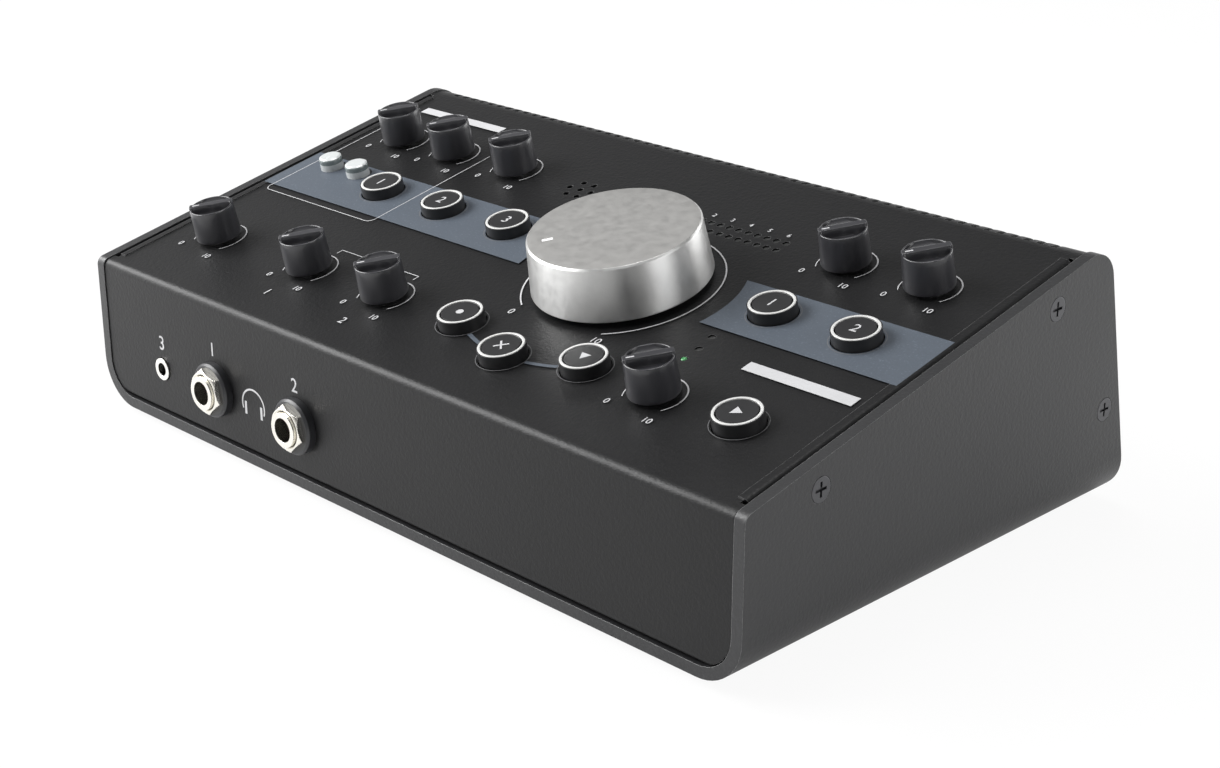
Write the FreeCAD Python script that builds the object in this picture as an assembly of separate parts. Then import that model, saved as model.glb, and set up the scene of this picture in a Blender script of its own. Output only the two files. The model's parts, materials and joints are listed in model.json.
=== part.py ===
import FreeCAD, Part
import math
import os
from FreeCAD import Rotation, Vector

# Studio monitor controller, millimetres, +Z up, front towards -Y.
# The origin is the middle of the footprint on the desk.
# Most pieces are drawn in the tilted frame of the top panel: x across, s up the slope, h above the panel.

# Casing
WIDTH = 240.0
DEPTH = 145.1
FRONT_HEIGHT = 41.0
TOP_ANGLE = 13.05
BASE_SHEET = 3.0
COVER_SHEET = 1.5
BASE_CORNER = 12.5
FRONT_BEND = 2.4
REAR_BEND = 8.5
LOWER_BEND = 1.6
SIDE_BEND = 1.6
SHELL_GAP = 0.3
FACE_RECESS = 0.3
FOOT_HEIGHT = 2.0
# Half the inside width that the places of controls and sockets are drawn for; they spread with the casing
LAYOUT_HALF = 117.0
FLANGE_DEPTH = 13.0
LOWER_FLANGE = 10.0
REAR_FLANGE_LEAN = 3.0
LOWER_RELIEF = 13.0
GROOVE_FRONT = 5.1
GROOVE_REAR_MARGIN = 11.8
RELIEF_SLOT = 1.3

# Casing screws and feet
SCREW_SHANK_R = 1.45
SCREW_GAP = 0.15
SCREW_SIDES = 10
SCREW_CROSS = 1.8
SCREW_HEAD_R = 3.0
SCREW_HEAD_H = 1.7
SCREW_LENGTH = 8.0
SCREW_RECESS = 0.7
SCREW_EDGE = 6.5
FRONT_SCREW_S = 22.8
REAR_SCREW_S = 108.9
LOWER_SCREW_DROP = 43.0
FOOT_R = 7.5
FOOT_RIM_R = 6.6
FOOT_TAPER = 1.0
FOOT_DISH = 0.5
FOOT_DISH_R = 3.0
FOOT_DISH_RIM_R = 3.375
FOOT_INSET_X = 30.0
FOOT_INSET_Y = 22.0

# Ventilation slots over the rear bend
VENT_PITCH = 3.87
VENT_WIDTH = 1.9
VENT_MARGIN = 10.0

# Control board and potentiometers
BOARD_SHEET = 1.6
CONTROL_BOARD_DEPTH = 11.0
BOARD_MARGIN = 9.0
BOARD_FRONT = 13.0
BOARD_REAR_MARGIN = 15.0
SHAFT_R = 3.0
SHAFT_TOP = 6.4
SHAFT_FOOT = 10.0
SHAFT_FLAT = 1.5
RUNNING_GAP = 0.05
PANEL_HOLE_GAP = 0.6
POT_BODY_W = 9.6
POT_BODY_L = 11.0
POT_BODY_H = 6.5
POT_BUSHING_R = 3.4
POT_BUSHING_H = 2.4
VOLUME_POT_W = 17.0

# Small knobs
KNOB_BASE_R = 6.27
KNOB_RIM_R = 5.95
KNOB_BASE_H = 0.8
KNOB_RIM_H = 9.77
KNOB_BAR_H = 10.5
KNOB_BAR_W = 2.4
KNOB_RIM_WALL = 0.42
KNOB_SCOOP_R = 4.7
KNOB_SCOOP_DEPTH = 2.2
KNOB_SCOOP_OFFSET = 0.7
KNOB_SKIRT_WALL = 0.9
KNOB_HOLLOW_TOP = 5.0
HUB_R = 3.95
POINTER_REST = 220.0
POINTER_WIDTH = 0.7
POINTER_DEPTH = 0.25
POINTER_LENGTH = 1.5
POINTER_MARGIN = 0.7

# Volume knob
VOLUME_ACROSS = 26.0
VOLUME_S = 61.2
VOLUME_BASE_R = 23.0
VOLUME_RIM_R = 21.4
VOLUME_BASE_H = 1.2
VOLUME_HEIGHT = 15.1
VOLUME_CHAMFER = 0.55
VOLUME_WALL = 2.6
VOLUME_HUB_R = 6.0
VOLUME_POINTER_INNER = 15.0
VOLUME_POINTER_LENGTH = 2.8
VOLUME_POINTER_WIDTH = 1.0

# Round buttons and their light rings
BUTTON_R = 6.0
BUTTON_TOP = 3.0
BUTTON_GAP = 0.3
BUTTON_FLANGE_R = 7.2
BUTTON_FLANGE_H = 1.2
BUTTON_FLANGE_DROP = 0.35
RING_OUTER_R = 5.76
RING_INNER_R = 4.75
RING_TOP = 3.16
RING_DEPTH = 1.4
BUTTON_TRAVEL = 1.2
STEM_SIDE = 3.0
STEM_FOOT = 6.6
KEY_SIDE = 6.2
KEY_HEIGHT = 5.2
KEY_WELL_SLACK = 0.4
KEY_WELL_DEPTH = 3.0

# Two small input switches with translucent caps
SMALL_CAP_R = 3.4
SMALL_CAP_TOP = 3.7
SMALL_CAP_DOME = 0.7

# Level meter, status lamps and talkback microphone
METER_LAST = 49.1
METER_PITCH = 3.15
METER_COLUMNS = 12
METER_ROWS = (92.25, 96.2)
LAMP_HOLE_R = 1.0
LAMP_R = 0.85
LAMP_SINK = 0.35
STATUS_LAMP_LAYOUT = ((64.0, 51.9), (65.0, 46.3), (65.0, 41.2))
LAMP_SIDES = 10
MIC_ACROSS = -22.9
MIC_S = 94.5
MIC_PITCH = 4.0
MIC_HOLE_R = 0.95
MIC_CAPSULE_R = 5.4
MIC_CAPSULE_H = 6.0

# Places of the controls on the top panel: x, s
SMALL_KNOB_LAYOUT = {
    "direct_monitor": (-96.6, 25.6),
    "phones_1": (-56.5, 26.2),
    "phones_2": (-25.0, 26.1),
    "talkback": (70.3, 25.9),
    "gain_1": (-96.9, 94.2),
    "gain_2": (-74.7, 94.2),
    "trim_34": (-49.1, 95.0),
    "trim_a": (70.0, 94.3),
    "trim_b": (95.0, 94.3),
}
ROUND_BUTTON_LAYOUT = {
    "mono": (4.1, 26.6),
    "mute": (25.9, 20.3),
    "dim": (47.5, 26.5),
    "cue": (95.0, 26.4),
    "monitor_a": (70.0, 67.0),
    "monitor_b": (95.1, 67.0),
    "usb_source": (-23.0, 67.8),
    "source_34": (-49.3, 67.7),
    "source_12": (-75.2, 67.6),
}
SMALL_SWITCH_LAYOUT = {
    "input_1_switch": (-102.9, 71.3),
    "input_2_switch": (-91.3, 71.6),
}

# Front sockets: x and height above the casing's underside
PHONES_JACK_LAYOUT = ((-66.0, 17.0), (-30.5, 17.0))
MINI_JACK_LAYOUT = (-91.0, 15.9)
JACK_BORE_R = 3.2
JACK_BUSHING_R = 4.6
JACK_HOLE_GAP = 0.2
JACK_REACH = 4.6
JACK_BODY_W = 15.0
JACK_BODY_H = 15.0
JACK_BODY_L = 22.0
JACK_BORE_L = 24.0
JACK_COLLAR_R = 7.4
JACK_COLLAR_H = 2.5
COLLAR_CHAMFER = 0.6
NUT_ACROSS_FLATS = 11.0
NUT_HEIGHT = 1.7
MINI_RING_R = 3.1
MINI_BORE_R = 1.8
MINI_REACH = 0.5
MINI_BODY_W = 6.6
MINI_BODY_L = 12.0
MINI_BORE_L = 11.0

# Rear sockets on the jack board
JACK_BOARD_DROP = 51.0
JACK_BOARD_LENGTH = 46.0
COMBO_LAYOUT = (-98.0, -68.5)
COMBO_NOSE_R = 11.2
COMBO_BODY_W = 25.0
COMBO_BODY_L = 22.0
COMBO_REACH = 0.6
COMBO_SLOT_R = 9.6
COMBO_SLOT_W = 1.5
COMBO_SLOT_DEPTH = 12.0
COMBO_PIN_R = 1.1
COMBO_PIN_SIDES = 8
COMBO_PIN_CIRCLE = 5.4
LINE_LAYOUT = (-44.0, -26.0, -3.0, 15.0, 38.0, 56.0)
LINE_BODY_W = 13.6
LINE_REACH = 3.6
USB_ACROSS = 76.0
USB_W = 12.0
USB_H = 11.0
USB_L = 16.0
USB_MOUTH_W = 8.5
USB_MOUTH_H = 7.8
USB_MOUTH_DEPTH = 9.0
USB_TONGUE_W = 5.6
USB_TONGUE_H = 3.2
DC_ACROSS = 92.0
DC_SIDE = 9.0
DC_H = 11.0
DC_L = 13.0
DC_MOUTH_R = 3.15
DC_PIN_R = 1.0
POWER_ACROSS = 106.0
POWER_BODY_W = 10.0
POWER_BODY_L = 15.0
POWER_BUTTON_R = 3.6
POWER_BUTTON_REACH = 3.4
POWER_TRAVEL = 2.4
POWER_CHAMFER = 0.5
SOCKET_GAP = 0.3

# Worked out from the sizes above
TILT = math.radians(TOP_ANGLE)
NEAR = 0.01
SLOPE = (DEPTH - FRONT_HEIGHT * math.tan(TILT)) * math.cos(TILT)
REAR_FALL = (FRONT_HEIGHT + SLOPE * math.sin(TILT)) / math.cos(TILT)
FRONT_Y = (JACK_REACH - DEPTH) / 2
REAR_Y = FRONT_Y + DEPTH
BASE_TOP = FOOT_HEIGHT + BASE_SHEET
TOP_CORNER = Vector(0, FRONT_Y, FOOT_HEIGHT + FRONT_HEIGHT)
INNER_X = WIDTH / 2 - BASE_SHEET
COVER_X = INNER_X - SHELL_GAP
PANEL_Y = FRONT_Y + FACE_RECESS
SPREAD = INNER_X / LAYOUT_HALF
SMALL_KNOBS = {name: (x * SPREAD, s) for name, (x, s) in SMALL_KNOB_LAYOUT.items()}
ROUND_BUTTONS = {name: (x * SPREAD, s) for name, (x, s) in ROUND_BUTTON_LAYOUT.items()}
SMALL_SWITCHES = {name: (x * SPREAD, s) for name, (x, s) in SMALL_SWITCH_LAYOUT.items()}
STATUS_LAMPS = [(x * SPREAD, s) for x, s in STATUS_LAMP_LAYOUT]
PHONES_JACKS = [(x * SPREAD, height) for x, height in PHONES_JACK_LAYOUT]
MINI_JACK = (MINI_JACK_LAYOUT[0] * SPREAD, MINI_JACK_LAYOUT[1])
COMBO_X = [x * SPREAD for x in COMBO_LAYOUT]
LINE_X = [x * SPREAD for x in LINE_LAYOUT]
VOLUME_X = VOLUME_ACROSS * SPREAD
METER_LAST_X = METER_LAST * SPREAD
MIC_X = MIC_ACROSS * SPREAD
USB_X = USB_ACROSS * SPREAD
DC_X = DC_ACROSS * SPREAD
POWER_X = POWER_ACROSS * SPREAD
REAR_FACE = SLOPE - FACE_RECESS
GROOVE_REAR = SLOPE - GROOVE_REAR_MARGIN
POT_TOP = CONTROL_BOARD_DEPTH - POT_BODY_H
AXIS_COMBO = COMBO_BODY_W / 2 - JACK_BOARD_DROP
AXIS_LINE = LINE_BODY_W / 2 - JACK_BOARD_DROP


def box(x0, x1, y0, y1, z0, z1):
    return Part.makeBox(x1 - x0, y1 - y0, z1 - z0, Vector(x0, y0, z0))


def rod(radius, x, y, z0, z1):
    """Cylinder standing along Z."""
    return Part.makeCylinder(radius, z1 - z0, Vector(x, y, z0))


def rod_y(radius, x, z, y0, y1):
    """Cylinder lying along Y."""
    return Part.makeCylinder(radius, y1 - y0, Vector(x, y0, z), Vector(0, 1, 0))


def rod_x(radius, y, z, x0, x1):
    """Cylinder lying along X."""
    return Part.makeCylinder(radius, x1 - x0, Vector(x0, y, z), Vector(1, 0, 0))


def polygon_prism(sides, radius, start, along, turn=0.0):
    """Regular prism on the point start, extruded by the vector along Y or Z."""
    points = []
    for i in range(sides + 1):
        a = math.radians(turn + 360.0 * i / sides)
        u = radius * math.cos(a)
        v = radius * math.sin(a)
        if abs(along.y) > abs(along.z):
            points.append(start + Vector(u, 0, v))
        else:
            points.append(start + Vector(u, v, 0))
    return Part.Face(Part.makePolygon(points)).extrude(along)


def revolve(profile, x, y):
    """Solid of revolution about the upright line at x, y; the profile is (radius, height) points."""
    points = [Vector(x + r, y, z) for r, z in profile]
    face = Part.Face(Part.makePolygon(points + points[:1]))
    return face.revolve(Vector(x, y, 0), Vector(0, 0, 1), 360)


def fuse(shapes):
    joined = shapes[0]
    if len(shapes) > 1:
        joined = joined.multiFuse(shapes[1:])
    return joined.removeSplitter()


def cut(shape, tools):
    return shape.cut(Part.makeCompound(tools))


def round_edges(shape, radius, wanted):
    """Fillet the straight edges whose middle point the test accepts."""
    edges = [e for e in shape.Edges if wanted(e.CenterOfMass)]
    return shape.makeFillet(radius, edges)


def tilted(shape):
    """Move a shape from the frame of the top panel to its place."""
    placed = shape.copy()
    placed.rotate(Vector(0, 0, 0), Vector(1, 0, 0), TOP_ANGLE)
    placed.translate(TOP_CORNER)
    return placed


def tilted_point(x, s, h):
    turned = Rotation(Vector(1, 0, 0), TOP_ANGLE).multVec(Vector(x, s, h))
    return turned + TOP_CORNER


def save(name, shape):
    shape.exportStep("parts/%s.step" % name)


def mirrored_x(shape):
    return shape.mirror(Vector(0, 0, 0), Vector(1, 0, 0))


def casing_prism(inset, half_width, front_bend, rear_bend):
    """The casing's side outline, moved inwards by the inset and extruded across."""
    front = FRONT_Y + inset
    lift = math.tan(TILT) * inset
    top_front = Vector(0, front, TOP_CORNER.z + lift - inset / math.cos(TILT))
    rear_corner = tilted_point(0, SLOPE - inset, -inset)
    rear_base = rear_corner.y + (rear_corner.z - FOOT_HEIGHT) * math.tan(TILT)
    points = [Vector(0, front, FOOT_HEIGHT), top_front, rear_corner, Vector(0, rear_base, FOOT_HEIGHT)]
    points = [Vector(-half_width, p.y, p.z) for p in points]
    face = Part.Face(Part.makePolygon(points + points[:1]))
    solid = face.extrude(Vector(2 * half_width, 0, 0))
    for radius, corner in ((front_bend, top_front), (rear_bend, rear_corner)):
        if radius > 0:
            solid = round_edges(solid, radius, lambda c: abs(c.x) < NEAR
                                and abs(c.y - corner.y) < NEAR and abs(c.z - corner.z) < NEAR)
    return solid


def trough(half_width, floor_z, corner):
    """Block with its two long lower edges rounded, wider and taller than the casing is deep."""
    block = box(-half_width, half_width, -DEPTH, DEPTH, floor_z, 2 * WIDTH)
    return round_edges(block, corner, lambda c: abs(c.z - floor_z) < NEAR and abs(c.x) > half_width - NEAR)


def screw_places():
    """Middle of each screw head on the right cheek."""
    upper = [tilted_point(WIDTH / 2, s, -SCREW_EDGE) for s in (FRONT_SCREW_S, REAR_SCREW_S)]
    return upper + [tilted_point(WIDTH / 2, SLOPE - SCREW_EDGE, -LOWER_SCREW_DROP)]


def foot_places():
    x = WIDTH / 2 - FOOT_INSET_X
    return [(i * x, y) for i in (-1, 1) for y in (FRONT_Y + FOOT_INSET_Y, REAR_Y - FOOT_INSET_Y)]


def base_chassis():
    outer = trough(WIDTH / 2, FOOT_HEIGHT, BASE_CORNER)
    inner = trough(INNER_X, BASE_TOP, BASE_CORNER - BASE_SHEET)
    shape = outer.common(casing_prism(0, WIDTH / 2, FRONT_BEND, REAR_BEND)).cut(inner)
    seats = []
    for p in screw_places():
        sink = Part.makeCone(SCREW_SHANK_R + SCREW_GAP, SCREW_HEAD_R + SCREW_GAP, SCREW_HEAD_H,
                             Vector(p.x - SCREW_HEAD_H, p.y, p.z), Vector(1, 0, 0))
        seats.append(sink)
        seats.append(rod_x(SCREW_SHANK_R + SCREW_GAP, p.y, p.z, p.x - BASE_SHEET - 1, p.x))
    seats += [mirrored_x(s) for s in seats]
    return cut(shape, seats)


def side_bend(length, depth):
    """Right-hand flange bent down along +Y from the origin, its outer bend rounded."""
    outer = box(COVER_X - 2 * SIDE_BEND, COVER_X, 0, length, -depth, 0)
    outer = round_edges(outer, SIDE_BEND, lambda c: c.z > -NEAR and c.x > COVER_X - NEAR)
    return outer.cut(box(0, COVER_X - COVER_SHEET, -1, length + 1, -depth - 1, -COVER_SHEET))


def cover_shell():
    """The folded cover: front, top, rear and the two lower flanges, without side flanges."""
    outer = casing_prism(FACE_RECESS, COVER_X, FRONT_BEND, REAR_BEND)
    wall = FACE_RECESS + COVER_SHEET
    inner = casing_prism(wall, WIDTH, FRONT_BEND - COVER_SHEET, REAR_BEND - COVER_SHEET)
    floor = BASE_TOP + SHELL_GAP
    shell = outer.cut(box(-WIDTH, WIDTH, -DEPTH, DEPTH, 0, floor))
    shell = round_edges(shell, LOWER_BEND, lambda c: c.z < floor + NEAR and abs(c.x) < NEAR)
    void = inner.cut(box(-WIDTH, WIDTH, -DEPTH, DEPTH, 0, floor + COVER_SHEET))
    shell = shell.cut(void)
    shell = shell.cut(box(-WIDTH, WIDTH, FRONT_Y + LOWER_FLANGE, REAR_Y - LOWER_FLANGE - REAR_FLANGE_LEAN,
                          0, floor + 2 * COVER_SHEET))
    shell = shell.common(trough(COVER_X, floor, BASE_CORNER - BASE_SHEET - SHELL_GAP))
    ends = []
    for side in (-1, 1):
        x0 = side * (WIDTH / 2 - LOWER_RELIEF - BASE_SHEET)
        x1 = side * WIDTH
        ends.append(box(min(x0, x1), max(x0, x1), PANEL_Y + COVER_SHEET, REAR_Y - LOWER_FLANGE,
                        floor - 1, floor + COVER_SHEET + 1))
    return cut(shell, ends)


def cover_flanges():
    """Right-hand side flanges of the top and the rear, in the tilted frame, with their relief slots."""
    run = GROOVE_REAR - GROOVE_FRONT
    top = side_bend(run, FLANGE_DEPTH)
    top.translate(Vector(0, GROOVE_FRONT, 0))
    drop = REAR_FALL - BASE_CORNER - REAR_BEND - 3 * BASE_SHEET
    rear = side_bend(drop, FLANGE_DEPTH)
    rear.rotate(Vector(0, 0, 0), Vector(1, 0, 0), -90)
    rear.translate(Vector(0, REAR_FACE, -REAR_BEND - BASE_SHEET))
    return top, rear, drop


def cover_openings():
    """Everything that is cut through the cover, in the tilted frame."""
    tools = []
    over = BUTTON_TOP
    for x, s in list(SMALL_KNOBS.values()) + [(VOLUME_X, VOLUME_S)]:
        tools.append(rod(SHAFT_R + PANEL_HOLE_GAP, x, s, -over, over))
    for x, s in ROUND_BUTTONS.values():
        tools.append(rod(BUTTON_R + BUTTON_GAP, x, s, -over, over))
    for x, s in SMALL_SWITCHES.values():
        tools.append(rod(SMALL_CAP_R + BUTTON_GAP, x, s, -over, over))
    for x, s in lamp_places():
        tools.append(polygon_prism(LAMP_SIDES, LAMP_HOLE_R, Vector(x, s, -over), Vector(0, 0, 2 * over)))
    for x, s in mic_holes():
        tools.append(polygon_prism(LAMP_SIDES, MIC_HOLE_R, Vector(x, s, -over), Vector(0, 0, 2 * over)))
    count = 1 + 2 * int((WIDTH / 2 - VENT_MARGIN) / VENT_PITCH)
    for i in range(count):
        x = (i - (count - 1) / 2) * VENT_PITCH
        tools.append(box(x - VENT_WIDTH / 2, x + VENT_WIDTH / 2, SLOPE - REAR_BEND + 1, SLOPE + 2,
                         -REAR_BEND + 1, 2))
    return tools + rear_openings()


def rear_openings():
    y0 = SLOPE - REAR_BEND
    y1 = SLOPE + 5
    tools = [rod_y(COMBO_NOSE_R + SOCKET_GAP, x, AXIS_COMBO, y0, y1) for x in COMBO_X]
    tools += [rod_y(JACK_BUSHING_R + JACK_HOLE_GAP, x, AXIS_LINE, y0, y1) for x in LINE_X]
    tools.append(rod_y(POWER_BUTTON_R + SOCKET_GAP, POWER_X, power_axis(), y0, y1))
    low = -JACK_BOARD_DROP
    for x, w, h in ((USB_X, USB_W, USB_H), (DC_X, DC_SIDE, DC_H)):
        tools.append(box(x - w / 2 - SOCKET_GAP, x + w / 2 + SOCKET_GAP, y0, y1,
                         low - SOCKET_GAP, low + h + SOCKET_GAP))
    return tools


def front_openings():
    y0 = FRONT_Y - COVER_SHEET
    y1 = FRONT_Y + 3 * COVER_SHEET
    holes = [(x, h, JACK_BUSHING_R) for x, h in PHONES_JACKS] + [(*MINI_JACK, MINI_RING_R)]
    return [rod_y(radius + JACK_HOLE_GAP, x, FOOT_HEIGHT + h, y0, y1) for x, h, radius in holes]


def top_cover():
    shell = cover_shell()
    top, rear, drop = cover_flanges()
    edge = COVER_X - SIDE_BEND
    strips = [
        box(edge, WIDTH, GROOVE_FRONT, GROOVE_REAR, -COVER_SHEET - 1, 3),
        box(edge, WIDTH, REAR_FACE - COVER_SHEET - 1, SLOPE + 3, -REAR_BEND - BASE_SHEET - drop,
            -REAR_BEND - BASE_SHEET),
    ]
    slots = [
        box(edge, WIDTH, GROOVE_FRONT - RELIEF_SLOT, GROOVE_FRONT, -FLANGE_DEPTH, 3),
        box(edge, WIDTH, GROOVE_REAR, GROOVE_REAR + RELIEF_SLOT, -FLANGE_DEPTH, 3),
    ]
    pilots = []
    for p in screw_places():
        pilots.append(rod_x(SCREW_SHANK_R + RUNNING_GAP, p.y, p.z, COVER_X - 3 * COVER_SHEET, WIDTH))
    away = [tilted(s) for s in strips + slots]
    added = [tilted(top), tilted(rear)]
    shell = cut(shell, away + [mirrored_x(s) for s in away])
    shell = fuse([shell] + added + [mirrored_x(s) for s in added])
    holes = [tilted(s) for s in cover_openings()] + pilots + [mirrored_x(s) for s in pilots]
    return cut(shell, holes + front_openings())


def casing_screws():
    """Countersunk screws with a cross recess, six separate solids."""
    screws = []
    for p in screw_places():
        head = Part.makeCone(SCREW_SHANK_R, SCREW_HEAD_R, SCREW_HEAD_H,
                             Vector(p.x - SCREW_HEAD_H, p.y, p.z), Vector(1, 0, 0))
        shank = polygon_x(SCREW_SIDES, SCREW_SHANK_R, p, p.x - SCREW_LENGTH, p.x - SCREW_HEAD_H)
        w = SCREW_RECESS / 2
        arm = SCREW_CROSS
        cross = [box(p.x - SCREW_RECESS, p.x + 1, p.y - arm, p.y + arm, p.z - w, p.z + w),
                 box(p.x - SCREW_RECESS, p.x + 1, p.y - w, p.y + w, p.z - arm, p.z + arm)]
        screws.append(cut(fuse([head, shank]), cross))
    return Part.makeCompound(screws + [mirrored_x(s) for s in screws])


def polygon_x(sides, radius, centre, x0, x1):
    points = [Vector(x0, centre.y + radius * math.cos(2 * math.pi * i / sides),
                     centre.z + radius * math.sin(2 * math.pi * i / sides)) for i in range(sides + 1)]
    return Part.Face(Part.makePolygon(points)).extrude(Vector(x1 - x0, 0, 0))


def rubber_feet():
    """Round feet with a shallow dish underneath and a tapered lower rim."""
    profile = [(0, FOOT_DISH), (FOOT_DISH_R, FOOT_DISH), (FOOT_DISH_RIM_R, 0), (FOOT_RIM_R, 0),
               (FOOT_R, FOOT_TAPER), (FOOT_R, FOOT_HEIGHT), (0, FOOT_HEIGHT)]
    return Part.makeCompound([revolve(profile, x, y) for x, y in foot_places()])


def lamp_places():
    first = METER_LAST_X - METER_PITCH * (METER_COLUMNS - 1)
    meter = [(first + METER_PITCH * i, s) for s in METER_ROWS for i in range(METER_COLUMNS)]
    return meter + list(STATUS_LAMPS)


def mic_holes():
    ring = [(MIC_X + MIC_PITCH * math.cos(math.radians(60 * i)),
             MIC_S + MIC_PITCH * math.sin(math.radians(60 * i))) for i in range(6)]
    return ring + [(MIC_X, MIC_S)]


def control_board():
    half = WIDTH / 2 - BOARD_MARGIN
    top = -CONTROL_BOARD_DEPTH
    return tilted(box(-half, half, BOARD_FRONT, SLOPE - BOARD_REAR_MARGIN, top - BOARD_SHEET, top))


def potentiometer(x, s, width):
    body = box(x - width / 2, x + width / 2, s - POT_BODY_L / 2, s + POT_BODY_L / 2,
               -CONTROL_BOARD_DEPTH, -POT_TOP)
    bushing = rod(POT_BUSHING_R, x, s, -POT_TOP, -POT_TOP + POT_BUSHING_H)
    bore = rod(SHAFT_R + RUNNING_GAP, x, s, -SHAFT_FOOT - RUNNING_GAP, 0)
    return tilted(fuse([body, bushing]).cut(bore))


def potentiometers():
    pots = [potentiometer(x, s, POT_BODY_W) for x, s in SMALL_KNOBS.values()]
    return Part.makeCompound(pots + [potentiometer(VOLUME_X, VOLUME_S, VOLUME_POT_W)])


def flat_cut(x, s, radius, low, high, flat):
    """The part of a round bore or shaft beyond its flat; the flat faces away from the pointer."""
    tool = box(x - 2 * radius, x + 2 * radius, s + flat, s + 3 * radius, low, high)
    tool.rotate(Vector(x, s, 0), Vector(0, 0, 1), 180 - POINTER_REST)
    return tool


def shaft(x, s, top):
    body = rod(SHAFT_R, x, s, -SHAFT_FOOT, top)
    return tilted(body.cut(flat_cut(x, s, SHAFT_R, KNOB_BASE_H, top + 1, SHAFT_FLAT)))


def knob_bore(x, s, low, top):
    """Bore for the shaft with its flat left standing."""
    bore = rod(SHAFT_R + RUNNING_GAP, x, s, low, top)
    return bore.cut(flat_cut(x, s, SHAFT_R + 1, low, top, SHAFT_FLAT + RUNNING_GAP))


def toward_pointer(shape, x, s):
    """Turn a shape drawn along +Y so that it lies towards the pointer."""
    turned = shape.copy()
    turned.rotate(Vector(x, s, 0), Vector(0, 0, 1), -POINTER_REST)
    return turned


def small_knob(x, s):
    slope = (KNOB_BASE_R - KNOB_RIM_R) / (KNOB_RIM_H - KNOB_BASE_H)
    bar_r = KNOB_RIM_R - slope * (KNOB_BAR_H - KNOB_RIM_H)
    body = revolve([(0, KNOB_BASE_H), (KNOB_BASE_R, KNOB_BASE_H),
                    (KNOB_RIM_R, KNOB_RIM_H), (0, KNOB_RIM_H)], x, s)
    cap = revolve([(0, KNOB_RIM_H - 1), (bar_r, KNOB_RIM_H - 1), (bar_r, KNOB_BAR_H), (0, KNOB_BAR_H)], x, s)
    half = KNOB_BAR_W / 2
    bar = cap.common(box(x - half, x + half, s - 2 * KNOB_BASE_R, s + 2 * KNOB_BASE_R, 0, 2 * KNOB_BAR_H))
    bar = toward_pointer(bar, x, s)
    low = KNOB_RIM_H - KNOB_SCOOP_DEPTH
    bowl = rod(KNOB_RIM_R - KNOB_RIM_WALL, x, s, low - 1, KNOB_BAR_H + 1)
    scoops = []
    for side in (-1, 1):
        offset = half + KNOB_SCOOP_OFFSET
        trough_rod = rod_y(KNOB_SCOOP_R, x + side * offset, low + KNOB_SCOOP_R, s - 9, s + 9)
        x0 = x + side * half
        x1 = x + side * 2 * KNOB_BASE_R
        side_box = box(min(x0, x1), max(x0, x1), s - 9, s + 9, low - 1, KNOB_BAR_H + 1)
        scoops.append(toward_pointer(trough_rod.common(side_box), x, s).common(bowl))
    body = fuse([cut(body, scoops), bar])
    hollow = rod(KNOB_BASE_R - KNOB_SKIRT_WALL, x, s, 0, KNOB_HOLLOW_TOP)
    hollow = hollow.cut(rod(HUB_R, x, s, 0, KNOB_HOLLOW_TOP))
    tip = s + KNOB_RIM_R - POINTER_MARGIN
    groove = box(x - POINTER_WIDTH / 2, x + POINTER_WIDTH / 2, tip - POINTER_LENGTH, tip,
                 KNOB_BAR_H - POINTER_DEPTH, KNOB_BAR_H + 1)
    bore = knob_bore(x, s, 0, SHAFT_TOP + RUNNING_GAP)
    return tilted(cut(body, [hollow, bore, toward_pointer(groove, x, s)]))


def volume_knob():
    x, s = VOLUME_X, VOLUME_S
    top = VOLUME_HEIGHT
    c = VOLUME_CHAMFER
    body = revolve([(0, VOLUME_BASE_H), (VOLUME_BASE_R - c, VOLUME_BASE_H),
                    (VOLUME_BASE_R, VOLUME_BASE_H + c), (VOLUME_RIM_R + c, top - c),
                    (VOLUME_RIM_R, top), (0, top)], x, s)
    roof = top - VOLUME_WALL
    hollow = revolve([(VOLUME_HUB_R, 0), (VOLUME_BASE_R - VOLUME_WALL, 0), (VOLUME_RIM_R - VOLUME_WALL, roof),
                      (VOLUME_HUB_R, roof)], x, s)
    w = VOLUME_POINTER_WIDTH / 2
    inner = s + VOLUME_POINTER_INNER
    groove = box(x - w, x + w, inner, inner + VOLUME_POINTER_LENGTH, top - POINTER_DEPTH, top + 1)
    bore = knob_bore(x, s, 0, volume_shaft_top() + RUNNING_GAP)
    return tilted(cut(body, [hollow, bore, toward_pointer(groove, x, s)]))


def volume_shaft_top():
    return VOLUME_HEIGHT - 1.5 * VOLUME_WALL


def round_button(x, s):
    """Black cap with a groove for its ring, a retaining flange and a square stem."""
    low = -COVER_SHEET - FACE_RECESS - BUTTON_FLANGE_DROP - BUTTON_FLANGE_H
    cap = revolve([(0, low), (BUTTON_FLANGE_R, low), (BUTTON_FLANGE_R, low + BUTTON_FLANGE_H),
                   (BUTTON_R, low + BUTTON_FLANGE_H), (BUTTON_R, BUTTON_TOP), (0, BUTTON_TOP)], x, s)
    floor = RING_TOP - RING_DEPTH
    g = RUNNING_GAP
    groove = revolve([(RING_INNER_R - g, floor), (RING_OUTER_R + g, floor),
                      (RING_OUTER_R + g, BUTTON_TOP + 1), (RING_INNER_R - g, BUTTON_TOP + 1)], x, s)
    half = STEM_SIDE / 2
    stem = box(x - half, x + half, s - half, s + half, -STEM_FOOT, low)
    return tilted(fuse([cap.cut(groove), stem]))


def light_ring(x, s):
    floor = RING_TOP - RING_DEPTH
    return tilted(revolve([(RING_INNER_R, floor), (RING_OUTER_R, floor),
                           (RING_OUTER_R, RING_TOP), (RING_INNER_R, RING_TOP)], x, s))


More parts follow.
